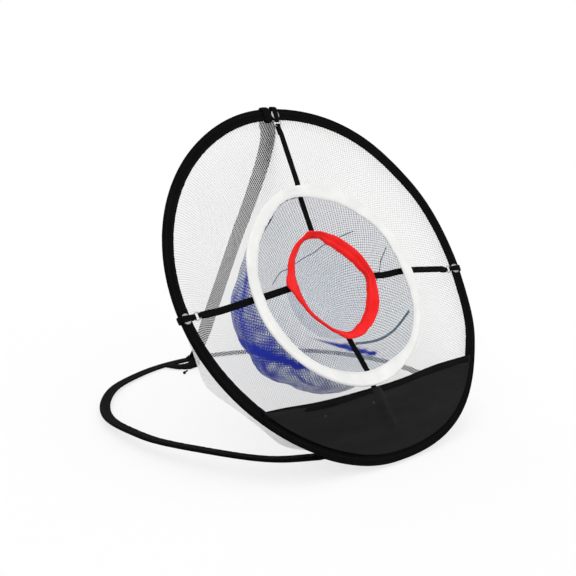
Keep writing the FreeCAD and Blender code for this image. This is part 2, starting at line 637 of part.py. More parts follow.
def stay_top_turn():
    """Turn of the stay's top loop, which stands clear of the top strap's eyelet."""
    clear = size("stay_loop_width") / 2 + size("eyelet_od") / 2 + 1
    return 90 + math.degrees(math.asin(clear / HOOP_WIRE_R))


def flat_run(first, last, up, width):
    """A flat run of webbing between two points of its middle line, with its thickness along up."""
    half = up * (size("stay_thick") / 2)
    across = (last - first).cross(up)
    across.normalize()
    side = across * (width / 2)
    corners = [first + half - side, last + half - side, last - half - side, first - half - side]
    return Part.Face(Part.makePolygon(corners + corners[:1])).extrude(side * 2)


def make_stay():
    """Stay strap with a loop on each hoop, and the knotted cord end that ties it."""
    gap = size("fit_gap")
    wide = size("stay_loop_width")
    thick = size("stay_thick")
    lap = size("stay_lap")
    eye = size("stay_eye")

    top = webbing_loop(wide, HOOP_IN, size("loop_gap"), HOOP_IN - eye, thick / 2)
    finish(solid_feature("stay_top", top), "stay_top_loop", TARGET.multiply(shift(0, 0, 0, stay_top_turn())))

    foot_turn = 90 - math.degrees(math.asin(size("stay_foot_x") / BASE_WIRE_R))
    foot_place = BASE.multiply(shift(0, 0, 0, foot_turn))
    low = webbing_loop(wide, BASE_IN, gap, BASE_IN - eye, thick / 2)
    under = Part.makeBox(2 * FAR, 2 * FAR, FAR, Vector(-FAR, -FAR, -FAR))
    finish(solid_feature("stay_low", low.cut(under)), "stay_base_loop", foot_place)

    top_x = size("stay_top_x")
    back = -(BULB + size("loop_gap") + STRAP_T + 2 * gap + thick / 2)
    sewn_top = TARGET.multVec(Vector(top_x, HOOP_WIRE_R + lap / 2, back))
    leave_top = TARGET.multVec(Vector(top_x, HOOP_WIRE_R - lap / 2, back))
    above_foot = BULB + STRAP_T + 3 * gap + thick / 2
    sewn_foot = foot_place.multVec(Vector(BASE_WIRE_R + lap / 2, 0, above_foot))
    leave_foot = foot_place.multVec(Vector(BASE_WIRE_R - lap / 2, 0, above_foot))
    chord = leave_foot - leave_top
    along = Vector(chord)
    along.normalize()
    across = Vector(0, -along.z, along.y).cross(along)
    sag = along.cross(across)
    sag.normalize()
    if sag.z > 0:
        sag = sag * -1
    middle = (leave_top + leave_foot) / 2 + sag * size("stay_bow")
    half = sag * (thick / 2)
    edges = [Part.Arc(leave_top + half, middle + half, leave_foot + half).toShape(),
             Part.makeLine(leave_foot + half, leave_foot - half),
             Part.Arc(leave_foot - half, middle - half, leave_top - half).toShape(),
             Part.makeLine(leave_top - half, leave_top + half)]
    width = size("stay_width")
    side = along.cross(sag) * (width / 2)
    bow = Part.Face(Part.Wire(edges))
    bow.translate(side * -1)
    strap = bow.extrude(side * 2)
    target_up = TARGET.Rotation.multVec(Vector(0, 0, 1))
    base_up = BASE.Rotation.multVec(Vector(0, 0, 1))
    strap = strap.fuse([flat_run(sewn_top, leave_top, target_up, width),
                        flat_run(leave_foot, sewn_foot, base_up, width)]).removeSplitter()
    finish(solid_feature("stay_strap_shape", strap), "stay_strap")

    radius = size("tail_dia") / 2
    knot = size("knot_dia") / 2
    length = size("tail_length")
    neck = length - math.sqrt(knot ** 2 - radius ** 2)
    start = Vector(0, 0, 0)
    edges = [Part.makeLine(start, Vector(0, 0, radius)),
             Part.makeLine(Vector(0, 0, radius), Vector(neck, 0, radius)),
             Part.Arc(Vector(neck, 0, radius), Vector(length, 0, knot), Vector(length + knot, 0, 0)).toShape(),
             Part.makeLine(Vector(length + knot, 0, 0), start)]
    tail = Part.Face(Part.Wire(edges)).revolve(start, Vector(1, 0, 0), 360)
    at = foot_place.multVec(Vector(BASE_IN - eye - STRAP_T - gap - radius, 0, 0))
    at.z = knot
    place = Placement(at, Rotation(Vector(0, 0, 1), 180 + size("tail_turn_angle")))
    finish(solid_feature("stay_cord", tail), "stay_cord_end", place)


make_main_hoop()
make_base_hoop()
make_seam_tape()
make_ring("white", WHITE_Z)
make_ring("red", RED_Z)
make_straps()
make_apron()
make_nets()
make_stay()
doc.recompute()

for obj in doc.Objects:
    if "Invalid" in obj.State or "Error" in obj.State:
        raise RuntimeError("%s is in state %s" % (obj.Label, obj.State))
os.makedirs("parts", exist_ok=True)
for obj in PARTS:
    shape = obj.Shape
    if shape.isNull() or not shape.isValid():
        raise RuntimeError(obj.Label + " has no valid shape")
for obj in PARTS:
    obj.Shape.exportStep("parts/%s.step" % obj.Label)
print("fold line at", FOLD_AT, "base slope %.2f" % math.degrees(BASE_SLOPE), len(PARTS), "parts")
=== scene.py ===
"""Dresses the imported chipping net: cloth sleeves, rings, nets, straps and hardware.

Everything is in metres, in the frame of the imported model. A point of the target is given as
(across, up, out): across its hoop, up along it and out of its front, from the hoop's centre.
"""
import json
from functools import reduce
from math import acos, asin, atan2, cos, degrees, exp, hypot, pi, radians, sin, sqrt, tan, tau

import bpy
from mathutils import Matrix, Vector, noise


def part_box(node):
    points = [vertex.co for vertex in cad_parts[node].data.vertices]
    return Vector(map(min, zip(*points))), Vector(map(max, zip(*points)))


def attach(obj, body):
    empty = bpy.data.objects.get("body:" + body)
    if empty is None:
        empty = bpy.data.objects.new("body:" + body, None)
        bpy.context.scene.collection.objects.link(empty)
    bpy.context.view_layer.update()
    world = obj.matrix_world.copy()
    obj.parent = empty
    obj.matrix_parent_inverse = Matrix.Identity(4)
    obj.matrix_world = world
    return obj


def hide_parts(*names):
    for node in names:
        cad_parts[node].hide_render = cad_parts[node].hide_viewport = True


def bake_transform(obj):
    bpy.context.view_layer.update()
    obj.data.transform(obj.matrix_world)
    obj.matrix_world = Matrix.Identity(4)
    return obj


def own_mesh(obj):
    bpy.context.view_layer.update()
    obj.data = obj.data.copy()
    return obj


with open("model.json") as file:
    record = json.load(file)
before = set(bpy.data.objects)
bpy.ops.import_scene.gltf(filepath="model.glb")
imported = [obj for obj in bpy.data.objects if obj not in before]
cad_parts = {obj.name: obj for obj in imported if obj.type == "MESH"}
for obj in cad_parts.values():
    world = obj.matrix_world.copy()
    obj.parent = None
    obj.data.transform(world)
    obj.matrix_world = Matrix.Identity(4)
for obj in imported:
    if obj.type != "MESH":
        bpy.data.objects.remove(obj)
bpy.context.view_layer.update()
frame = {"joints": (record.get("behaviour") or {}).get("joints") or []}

MM = 0.001
GROUND = 0.0012

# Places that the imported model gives

JOINTS = {joint["name"]: joint for joint in frame["joints"]}
FOLD = Vector(JOINTS["fold"]["pos_m"])
BACK = Vector(JOINTS["target_give"]["axis"])
FRONT = -BACK
RIGHT = Vector((1, 0, 0))
UP = FRONT.cross(RIGHT)


def middle(node):
    """The middle of a CAD node's box."""
    low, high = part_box(node)
    return (low + high) / 2


def half_width(node):
    """Half a CAD node's size across the object."""
    low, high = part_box(node)
    return (high.x - low.x) / 2


HOOP_AT = middle("main_hoop_sleeve")
HOOP_R = half_width("main_hoop_sleeve")
WHITE_R = half_width("white_ring_band")
BASE_R = half_width("base_hoop_sleeve")
BASE_SLOPE = radians(2.85)
BASE_BACK = Vector((0, cos(BASE_SLOPE), -sin(BASE_SLOPE)))
BASE_UP = Vector((0, sin(BASE_SLOPE), cos(BASE_SLOPE)))
BASE_AT = FOLD + BASE_BACK * ((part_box("base_hoop_sleeve")[1].y - FOLD.y) / BASE_BACK.y - BASE_R)


def flat_place(node):
    """A node's middle as (across, up, out) of the target."""
    away = middle(node) - HOOP_AT
    return away.dot(RIGHT), away.dot(UP), away.dot(FRONT)


RING_UP = flat_place("white_ring_band")[1]
WHITE_OUT = flat_place("white_ring_band")[2] + 0.8 * MM
RED_OUT = flat_place("red_ring_band")[2]

# Sizes of the cloth

SLEEVE_BULB = 2.6 * MM
SLEEVE_HEM = 1.2 * MM
BASE_WIDTH = 14 * MM
BASE_BULB = 2.1 * MM
WHITE_BULB = 2.6 * MM
RED_BULB = 2.2 * MM
STRAP_WIDTH = 9 * MM
WEB_THICK = 1.1 * MM


def marks(*pairs):
    """A closed smooth curve over a circle, from (degrees, value) pairs; it takes an angle in radians."""
    def curve(angle):
        turn = degrees(angle) % 360
        before = max((p for p in pairs if p[0] <= turn), default=(pairs[-1][0] - 360, pairs[-1][1]))
        after = min((p for p in pairs if p[0] > turn), default=(pairs[0][0] + 360, pairs[0][1]))
        share = (turn - before[0]) / (after[0] - before[0])
        return before[1] + (after[1] - before[1]) * (1 - cos(pi * share)) / 2
    return curve



# The soft hoops aren't true circles: how far each stands out of its circle, and its band's width, in mm
HOOP_SHAPE = marks((0, -4.6), (30, 0.8), (55, 4.8), (90, 0.2), (125, -2.8), (180, 1.8), (235, -4.4),
                   (268, -0.8), (302, 5.6), (330, 1.0), (352, -5.2))
SLEEVE_SHAPE = marks((0, 16.0), (50, 17.6), (90, 16.4), (135, 14.6), (170, 14.6), (215, 16.0), (300, 17.2),
                     (340, 15.8))
BASE_SHAPE = marks((30, 0.0), (65, -6.0), (90, -8.5), (112, -8.5), (135, -3.0), (160, -1.0), (185, -6.0),
                   (202, -8.0), (235, 0.0), (305, 0.0), (340, -4.0))
BASE_LIFT = marks((20, 0.3), (90, 0.0), (155, 0.3), (182, 3.0), (208, 4.5), (233, 2.0), (270, 0.0),
                  (307, 1.2), (332, 3.4), (358, 2.0))
WHITE_SHAPE = marks((0, 1.0), (60, 0.2), (100, -1.2), (132, -4.0), (160, -1.2), (195, 1.4), (230, -0.4),
                    (270, 1.4), (300, -1.0), (345, 0.6))
WHITE_INNER = marks((0, 125.0), (30, 127.0), (50, 122.6), (75, 121.0), (105, 125.8), (130, 121.2),
                    (150, 123.0), (170, 126.0), (195, 127.0), (225, 127.8), (255, 124.2), (285, 123.2),
                    (315, 130.5), (332, 130.0))
RED_SHAPE = marks((0, 69.5), (18, 67.9), (50, 67.0), (72, 69.5), (92, 73.5), (101, 76.5), (114, 74.0),
                  (132, 75.0), (160, 77.5), (174, 83.0), (186, 76.5), (200, 73.0), (228, 71.4), (242, 73.6),
                  (258, 78.5), (276, 77.0), (292, 73.2), (312, 71.4), (350, 68.5))
RED_INNER = marks((2, 62.6), (20, 55.5), (40, 52.5), (56, 52.5), (75, 57.2), (88, 66.0), (105, 68.5),
                  (136, 64.6), (157, 62.6), (180, 60.6), (222, 62.9), (244, 65.2), (266, 67.0), (285, 61.2),
                  (306, 57.8), (325, 55.8), (344, 57.7))


def target(across, up, out=0.0):
    """A point of the target, from the hoop's centre."""
    return HOOP_AT + RIGHT * across + UP * up + FRONT * out


def on_base(across, back, up=0.0):
    """A point of the base hoop's plane, from its centre."""
    return BASE_AT + RIGHT * across + BASE_BACK * back + BASE_UP * up


def ripple(x, y, seed=0.0):
    """Smooth noise from -1 to 1."""
    return noise.noise(Vector((x, y, seed)))


def bell(value, middle_at, spread, power=2):
    """1 where a value is at the middle, and less the further away it is."""
    return exp(-((value - middle_at) / spread) ** power)


def clamp(value):
    """A value kept between 0 and 1."""
    return min(1.0, max(0.0, value))


def turns(count):
    """Evenly spread angles of a full turn."""
    return [tau * step / count for step in range(count)]


# Mesh helpers

SEAM_GAP = 0.02 * MM
ARC_STEPS = 9
# A ribbon's points across it, in halves of its width; where its edge begins, its width and how much it thins
ACROSS = (-1.0, -0.92, -0.5, 0.0, 0.5, 0.92, 1.0)
EDGE_AT = 0.85
EDGE_WIDE = 0.15
EDGE_THIN = 0.55


def add(name, data):
    """A new object in the scene."""
    made = bpy.data.objects.new(name, data)
    bpy.context.scene.collection.objects.link(made)
    return made


def grid_piece(name, rows, uvs, material, wrap_columns=False, breaks=(), caps=()):
    """A smooth mesh piece from rows of points, with lengths in metres as its UVs.

    Wrapped columns get a seam, so their UVs don't run back; a break joins no rows; caps are more faces.
    """
    if wrap_columns:
        rows = [row + [row[0].copy()] for row in rows]
        uvs = [row + [end] for row, end in uvs]
    width = len(rows[0])
    corners = [i * width + j for i in range(len(rows) - 1) if i not in breaks for j in range(width - 1)]
    faces = [(a, a + 1, a + width + 1, a + width) for a in corners]
    flat_uvs = [uv for row in uvs for uv in row]
    mesh = bpy.data.meshes.new(name)
    mesh.from_pydata([point for row in rows for point in row], [], faces + list(caps))
    layer = mesh.uv_layers.new(name="cloth")
    for loop in mesh.loops:
        layer.data[loop.index].uv = flat_uvs[loop.vertex_index]
    mesh.materials.append(material)
    mesh.polygons.foreach_set("use_smooth", [True] * len(mesh.polygons))
    piece = add(name, mesh)
    return piece


def weld(piece):
    """Joins the two sides of a seam, so the shading runs on across it."""
    modifier = piece.modifiers.new("weld", "WELD")
    modifier.merge_threshold = SEAM_GAP
    return piece


def run_lengths(points):
    """The length that has been run along the points, at each of them."""
    lengths = [0.0]
    for first, last in zip(points, points[1:]):
        lengths.append(lengths[-1] + (last - first).length)
    return lengths


def sweep(name, stations, section, material):
    """A closed tube of cloth round a hoop.

    A station is (place, outward, upward, tag). The section is (out, up) pairs round the tube, or a rule of the
    tag and the length that gives them.
    """
    closed = stations + stations[:1]
    lengths = run_lengths([station[0] for station in closed])
    rows, uvs = [], []
    for index, (place, outward, upward, tag) in enumerate(closed):
        length = lengths[index] if index < len(stations) else 0.0
        outline = list(section(tag, length) if callable(section) else section)
        outline.append(outline[0])
        rows.append([place + outward * out + upward * up for out, up in outline])
        uvs.append([(lengths[index], width) for width in run_lengths(rows[-1])])
    return weld(grid_piece(name, rows, uvs, material))


def band_outline(width, bulb, hem, flat_steps):
    """Section of a sleeve, from its top hem over the wire to its bottom hem; (0, 0) is the wire."""
    reach = width - bulb
    lean = asin((bulb - hem) / reach)
    outline = []
    for share in (step / flat_steps for step in range(flat_steps)):
        outline.append((-reach + reach * share, hem + (bulb - hem) * share))
    for step in range(ARC_STEPS + 1):
        angle = pi / 2 + lean - (pi + 2 * lean) * step / ARC_STEPS
        outline.append((bulb * cos(angle), bulb * sin(angle)))
    for share in (1 - (step + 1) / flat_steps for step in range(flat_steps)):
        outline.append((-reach + reach * share, -hem - (bulb - hem) * share))
    return outline + [(-reach - hem * 0.6, 0.0)]


def smooth_path(points, per_span=8, closed=False):
    """A Catmull-Rom curve through the points."""
    count = len(points)
    path = []
    for span in range(count if closed else count - 1):
        if closed:
            a, b, c, d = (points[(span + k) % count] for k in (-1, 0, 1, 2))
        else:
            b, c = points[span], points[span + 1]
            a = points[span - 1] if span else b * 2 - c
            d = points[span + 2] if span + 2 < count else c * 2 - b
        for t in (step / per_span for step in range(per_span)):
            path.append(((b * 2) + (c - a) * t + (a * 2 - b * 5 + c * 4 - d) * t ** 2
                         + (b * 3 - a - c * 3 + d) * t ** 3) / 2)
    return path if closed else path + [points[-1].copy()]


def ribbon(name, path, side, width, thick, material, closed=False, cup=0.0, seed=1.0, rough=0.12 * MM):
    """A webbing strap along a path. Its width lies along side; it may be a rule of the share of the length.

    cup bends its edges over; rough is the size of its uneven lie.
    """
    count = len(path)
    if closed:
        path = path + [path[0].copy()]
    lengths = run_lengths(path)
    rows, uvs, caps = [], [], []
    for index, (point, run) in enumerate(zip(path, lengths)):
        if closed:
            ahead, behind = path[(index + 1) % count], path[(index - 1) % count]
        else:
            ahead, behind = path[min(index + 1, count - 1)], path[max(index - 1, 0)]
        tangent = (ahead - behind).normalized()
        wide = (side - tangent * side.dot(tangent)).normalized()
        normal = wide.cross(tangent)
        half = (width(run / lengths[-1]) if callable(width) else width) / 2
        ring = []
        for face in (1, -1):
            for share in ACROSS[::face]:
                edge = 1 - EDGE_THIN * max(0.0, abs(share) - EDGE_AT) / EDGE_WIDE
                ring.append((share * half, face * edge * thick / 2))
        ring.append(ring[0])
        row = []
        for offset, height in ring:
            lift = cup * (offset / half) ** 2
            lift += rough * ripple(run * 90, offset * 120 + seed * 7, seed=seed)
            row.append(point + wide * offset + normal * (height + lift))
        rows.append(row)
        uvs.append([(run, offset) for offset, _ in ring])
    if not closed:
        last = len(ring) - 2
        for start, order in ((0, -1), ((len(rows) - 1) * len(ring), 1)):
            quads = [(step, step + 1, last - 1 - step, last - step) for step in range(len(ACROSS) - 1)]
            caps += [tuple(start + corner for corner in quad[::order]) for quad in quads]
    return weld(grid_piece(name, rows, uvs, material, caps=caps))


# Materials

STITCH = 3.2 * MM
STITCH_SHARE = 0.68
STITCH_WIDE = 0.28 * MM


class Nodes:
    """A node tree with short helpers. An input takes a socket, or a value of its own kind."""

    def __init__(self, owner, output):
        owner.use_nodes = True
        self.tree = owner.node_tree
        self.tree.nodes.clear()
        self.output = self.node(output)

    def node(self, kind, inputs=None, **settings):
        """A new node with its settings, and its inputs by name or number."""
        made = self.tree.nodes.new(kind)
        for key, value in settings.items():
            setattr(made, key, value)
        for key, value in (inputs or {}).items():
            self.feed(value, made.inputs[key])
        return made

    def feed(self, value, goal):
        """Gives an input its socket or value."""
        if hasattr(value, "is_linked"):
            self.tree.links.new(value, goal)
        else:
            goal.default_value = value

    def math(self, operation, first, second=0.5):
        """The result of a Math node."""
        return self.node("ShaderNodeMath", {0: first, 1: second}, operation=operation).outputs[0]

    def most(self, values):
        """The largest of several numbers."""
        return reduce(lambda first, second: self.math("MAXIMUM", first, second), values)

    def show(self, share, first, second):
        """Lets the output show a mix of two shaders: the second where the share is 1."""
        mixed = self.node("ShaderNodeMixShader", {0: share, 1: first, 2: second})
        self.feed(mixed.outputs[0], self.output.inputs["Surface"])


class Shader(Nodes):
    """A material with one main shader."""

    def __init__(self, name, roughness=0.5, gloss=0.5, metallic=0.0):
        self.material = bpy.data.materials.new(name)
        super().__init__(self.material, "ShaderNodeOutputMaterial")
        self.surface = self.node("ShaderNodeBsdfPrincipled", {
            "Roughness": roughness, "Specular IOR Level": gloss, "Metallic": metallic})
        self.feed(self.surface.outputs["BSDF"], self.output.inputs["Surface"])

    def paint(self, colour):
        """Gives the main shader its colour."""
        self.feed(colour, self.surface.inputs["Base Color"])

    def bump(self, height, distance, strength):
        """Lays a bump over those that the main shader has."""
        made = self.node("ShaderNodeBump", {"Strength": strength, "Distance": distance, "Height": height})
        goal = self.surface.inputs["Normal"]
        if goal.is_linked:
            self.feed(goal.links[0].from_socket, made.inputs["Normal"])
        self.feed(made.outputs[0], goal)

    def shown(self):
        """The shader that now reaches the output."""
        return self.output.inputs["Surface"].links[0].from_socket

    def see_through(self, solid):
        """Leaves the surface only where the socket is 1."""
        self.show(solid, self.node("ShaderNodeBsdfTransparent").outputs[0], self.shown())

    def cloth_uv(self):
        """The lengths along and across the cloth, in metres."""
        uv = self.node("ShaderNodeUVMap", uv_map="cloth")
        return self.node("ShaderNodeSeparateXYZ", {0: uv.outputs[0]}).outputs[:2]

    def noise(self, scale, detail=3.0, stretch=(1, 1, 1)):
        """Noise over the object's own space."""
        place = self.node("ShaderNodeTexCoord").outputs["Object"]
        place = self.node("ShaderNodeMapping", {"Vector": place, "Scale": stretch}).outputs[0]
        inputs = {"Vector": place, "Scale": scale, "Detail": detail}
        return self.node("ShaderNodeTexNoise", inputs).outputs["Fac"]

    def waves(self, length, pitch):
        """A sine along one direction of the cloth."""
        return self.math("SINE", self.math("MULTIPLY", length, tau / pitch))

    def weave(self, along, across, pitch):
        """Height of a plain weave."""
        return self.math("MULTIPLY", self.waves(along, pitch), self.waves(across, pitch))

    def cell(self, length, pitch):
        """How far along its cell a length is, from 0 to 1."""
        return self.math("FRACT", self.math("DIVIDE", length, pitch))

    def off(self, length, place):
        """How far a length is from a place."""
        return self.math("ABSOLUTE", self.math("SUBTRACT", length, place))

    def away(self, across, up):
        """The distance that is so far across and so far up."""
        squares = [self.math("POWER", length, 2.0) for length in (across, up)]
        return self.math("SQRT", self.math("ADD", *squares))

    def ramp(self, value, low, high, start=0.0, end=1.0):
        """A colour between low and high, as a value goes from start to end."""
        made = self.node("ShaderNodeValToRGB", {0: value})
        for element, place, colour in zip(made.color_ramp.elements, (start, end), (low, high)):
            element.position = place
            element.color = (*colour, 1)
        return made.outputs[0]

    def mix(self, share, first, second):
        """A mix of two colours."""
        return self.node("ShaderNodeMix", {"Factor": share, 6: first, 7: second}, data_type="RGBA").outputs[2]

    def stitches(self, along, across, places):
        """1 on the dashes of stitch rows that run along the cloth at these places across it."""
        dash = self.math("LESS_THAN", self.cell(along, STITCH), STITCH_SHARE)
        rows = [self.math("LESS_THAN", self.off(across, place), STITCH_WIDE) for place in places]
        return self.math("MULTIPLY", dash, self.most(rows))


def cloth_material(name, dark, light, roughness, weave_pitch, seams=(), seam_colour=None, gloss=0.2):
    """Plain woven cloth with uneven colour, soft creases and stitch rows."""
    shader = Shader(name, roughness, gloss)
    along, across = shader.cloth_uv()
    colour = shader.ramp(shader.noise(40), dark, light, 0.3, 0.7)
    shader.bump(shader.noise(75, 4.0), 0.6 * MM, 0.55)
    if seams:
        mask = shader.stitches(along, across, seams)
        colour = shader.mix(mask, colour, (*seam_colour, 1))
        shader.bump(mask, 0.3 * MM, 0.8)
    shader.paint(colour)
    shader.bump(shader.weave(along, across, weave_pitch), 0.08 * MM, 0.6)
    return shader.material


def webbing_material(name, dark, light):
    """Ribbed webbing: ribs across the strap and a herringbone of fine threads."""
    shader = Shader(name, 0.8, 0.06)
    along, across = shader.cloth_uv()
    from_middle = shader.math("ABSOLUTE", across)
    fine = shader.waves(shader.math("ADD", along, from_middle), 0.7 * MM)
    ribs = shader.math("ADD", shader.waves(along, 1.1 * MM), shader.math("MULTIPLY", fine, 0.5))
    uneven = shader.noise(60)
    colours = [shader.ramp(uneven, *ends, 0.3, 0.7) for ends in ((dark, light), (light, dark))]
    shader.paint(shader.mix(shader.math("GREATER_THAN", from_middle, 3.9 * MM), *colours))
    shader.bump(shader.noise(90), 0.4 * MM, 0.5)
    shader.bump(ribs, 0.12 * MM, 0.8)
    return shader.material


# Pale rubs of the apron: its place across and up, and its size, in mm
RUBS = ((-14, -171, 2.6), (-98, -170, 2.0))
RUB_COLOUR = (0.075, 0.08, 0.075, 1)


def ripstop_material(name, dark, light):
    """Thin black cloth with a fine grid of thicker threads, a few pale rubs and lighter horizontal bands of
    painted sheen.
    """
    shader = Shader(name, 0.6, 0.12)
    along, across = shader.cloth_uv()
    grid = shader.most([shader.math("GREATER_THAN", shader.off(shader.cell(length, 3.0 * MM), 0.5), 0.44)
                        for length in (along, across)])
    # Painted sheen: lighter bands in the colour, stretched horizontally along the folds
    uneven = shader.ramp(shader.noise(26, 5.0, (0.35, 1, 1.6)), dark, light, 0.38, 0.66)
    cloth = shader.mix(shader.math("MULTIPLY", grid, 0.35), uneven, shader.ramp(grid, dark, light))
    spots = []
    for side, up, reach in RUBS:
        offs = [shader.math("SUBTRACT", length, at * MM) for length, at in ((along, side), (across, up))]
        near = shader.math("MINIMUM", shader.math("DIVIDE", shader.away(*offs), reach * MM), 1.0)
        spots.append(shader.math("SUBTRACT", 1.0, near))
    worn = shader.math("MULTIPLY", shader.most(spots), shader.noise(420))
    shader.paint(shader.mix(worn, cloth, RUB_COLOUR))
    shader.bump(shader.noise(30, 5.0, (0.4, 1, 1.8)), 2.6 * MM, 0.8)
    shader.bump(shader.weave(along, across, 0.7 * MM), 0.05 * MM, 0.5)
    shader.bump(grid, 0.06 * MM, 0.6)
    return shader.material


def white_net_material(name, pitch, step, radius):
    """White knit with staggered round holes: pitch and step are the distances along and across it."""
    shader = Shader(name, 0.75, 0.2)
    along, across = shader.cloth_uv()
    shader.paint(shader.ramp(shader.noise(9), (0.70, 0.70, 0.69), (0.82, 0.82, 0.81), 0.35, 0.65))
    shader.bump(shader.noise(28, 4.0), 1.2 * MM, 0.5)
    shader.bump(shader.weave(along, across, 1.1 * MM), 0.1 * MM, 0.5)
    glow = shader.node("ShaderNodeBsdfTranslucent", {"Color": (0.93, 0.93, 0.92, 1)})
    shader.show(0.45, shader.shown(), glow.outputs[0])
    row = shader.math("DIVIDE", across, step)
    stagger = shader.math("FRACT", shader.math("MULTIPLY", shader.math("FLOOR", row), 0.5))
    column = shader.math("ADD", shader.math("DIVIDE", along, pitch), stagger)
    offs = [shader.math("MULTIPLY", shader.math("SUBTRACT", shader.math("FRACT", cell), 0.5), size)
            for cell, size in ((column, pitch), (row, step))]
    shader.see_through(shader.math("GREATER_THAN", shader.away(*offs), radius))
    return shader.material


GATHERED = (0.003, 0.019, 0.33)
LAVENDER = (0.70, 0.74, 0.90)
TEAL = (0.50, 0.74, 0.80)


def thread_net_material(name, pitch, thread, veils, veil_share, thin):
    """Open net of diagonal threads over a fine pale knit, the veil, which hides a share of what is behind it.

    The attribute gather thickens the threads, closes the veil and turns both to the gathered colour.
    """
    shader = Shader(name, 0.6, 0.25)
    along, across = shader.cloth_uv()
    gather = shader.node("ShaderNodeAttribute", attribute_name="gather").outputs["Fac"]
    farthest = shader.most([shader.off(shader.cell(shader.math(operation, along, across), pitch), 0.5)
                            for operation in ("ADD", "SUBTRACT")])
    half = shader.math("ADD", shader.math("MULTIPLY", gather, 0.15), thread / pitch / 2)
    line = shader.math("GREATER_THAN", shader.math("ADD", farthest, half), 0.5)
    full = shader.math("MULTIPLY", shader.math("POWER", gather, 1.6), 0.9)
    veil = shader.math("MINIMUM", shader.math("ADD", full, veil_share), 1.0)
    veil_colour = shader.mix(shader.math("MINIMUM", shader.math("MULTIPLY", gather, 2.2), 1.0),
                             shader.ramp(shader.noise(14, 2.0), *veils, 0.42, 0.58), (*GATHERED, 1))
    shader.paint(shader.mix(line, veil_colour, shader.ramp(gather, thin, GATHERED, 0.1, 0.6)))
    shader.bump(shader.noise(60, 4.0), 0.8 * MM, 0.5)
    shader.see_through(shader.math("MAXIMUM", line, veil))
    return shader.material


def metal_material(name, colour, roughness, scratches):
    """Worn plated metal."""
    shader = Shader(name, metallic=1.0)
    shader.paint(shader.ramp(shader.noise(300), [part * 0.6 for part in colour], colour, 0.35, 0.65))
    rough = shader.node("ShaderNodeMapRange", {
        "Value": shader.noise(500), "To Min": roughness, "To Max": roughness + 0.15})
    shader.feed(rough.outputs[0], shader.surface.inputs["Roughness"])
    shader.bump(shader.noise(scratches, 6.0, (1, 1, 8)), 0.05 * MM, 0.3)
    return shader.material


BLACK = (0.0010, 0.0010, 0.0010)
BLACK_LIT = (0.0026, 0.0026, 0.0025)
BLACK_STITCH = (0.012, 0.012, 0.012)
SLEEVE_CLOTH = cloth_material("sleeve_cloth", BLACK, BLACK_LIT, 0.85, 0.8 * MM, gloss=0.05,
                              seams=(2.2 * MM, 10.5 * MM, 30.5 * MM, 38.5 * MM), seam_colour=BLACK_STITCH)
WEBBING = webbing_material("black_web", BLACK, BLACK_LIT)
APRON_CLOTH = ripstop_material("apron_ripstop", (0.0018, 0.0022, 0.0020), (0.0048, 0.0055, 0.0048))
HEM_CLOTH = cloth_material("apron_hem_cloth", BLACK, BLACK_LIT, 0.75, 0.7 * MM, gloss=0.06,
                           seams=(4.0 * MM,), seam_colour=BLACK_STITCH)
WHITE_CLOTH = cloth_material("white_band_cloth", (0.82, 0.82, 0.80), (0.90, 0.90, 0.885), 0.65, 0.6 * MM,
                             seams=(2.0 * MM, 36.5 * MM), seam_colour=(0.74, 0.74, 0.72))
NAVY_CLOTH = cloth_material("navy_binding", (0.012, 0.016, 0.07), (0.03, 0.035, 0.13), 0.7, 0.6 * MM)
RED_CLOTH = cloth_material("red_band_cloth", (0.84, 0.010, 0.010), (0.96, 0.026, 0.026), 0.65, 0.6 * MM,
                           seams=(1.8 * MM, 28.5 * MM), seam_colour=(0.5, 0.004, 0.004), gloss=0.1)
WHITE_NET = white_net_material("white_net", 4.3 * MM, 2.15 * MM, 1.27 * MM)
BLUE_NET = thread_net_material("blue_net", 4.8 * MM, 0.62 * MM, (LAVENDER, TEAL), 0.17, (0.026, 0.042, 0.15))
PALE_NET = thread_net_material("pale_net", 3.6 * MM, 0.16 * MM, (LAVENDER, TEAL), 0.07, (0.05, 0.09, 0.22))
SEAM_NET = thread_net_material("seam_net", 2.2 * MM, 0.9 * MM, (TEAL, TEAL), 0.3, (0.008, 0.05, 0.09))
NICKEL = metal_material("nickel_plate", (0.46, 0.455, 0.435), 0.28, 900)
STEEL = metal_material("spring_wire", (0.42, 0.42, 0.40), 0.32, 700)
FERRULE = metal_material("crimped_tube", (0.50, 0.50, 0.48), 0.28, 600)


# Places round the hoops and rings; an angle starts at the right and runs towards the top or the back

def hoop_spot(angle, inward=0.0, out=0.0):
    """A point of the target hoop's band, inward from its outer edge."""
    radius = HOOP_R + HOOP_SHAPE(angle) * MM - inward
    return target(radius * cos(angle), radius * sin(angle), out)


def ring_spot(angle, radius, out):
    """A point of the two rings, from their centre."""
    return target(radius * cos(angle), RING_UP + radius * sin(angle), out)


def flat_out(angle):
    """An angle's direction in the target's plane."""
    return RIGHT * cos(angle) + UP * sin(angle)


def base_out(angle):
    """An angle's direction in the base's plane."""
    return RIGHT * cos(angle) + BASE_BACK * sin(angle)


FOLD_OUT = (FOLD - HOOP_AT).dot(FRONT)
FRONT_HALF = acos((HOOP_AT - FOLD).dot(UP) / (HOOP_R - SLEEVE_BULB))
REAR_HALF = acos((BASE_AT - FOLD).dot(BASE_BACK) / (BASE_R - SLEEVE_BULB))
# Over how many degrees the base hoop's wire and its sleeve turn into the target hoop's
WIRE_EASE = 9
SLEEVE_EASE = 12


def near_fold(angle, reach):
    """How near an angle of the base hoop is to the fold line, and the target hoop's angle there."""
    turn = (angle + pi / 2 + pi) % tau - pi
    side = 1 if turn > 0 else -1
    away = degrees(abs(turn) - REAR_HALF)
    return bell(away, 0.0, reach), -pi / 2 + side * FRONT_HALF


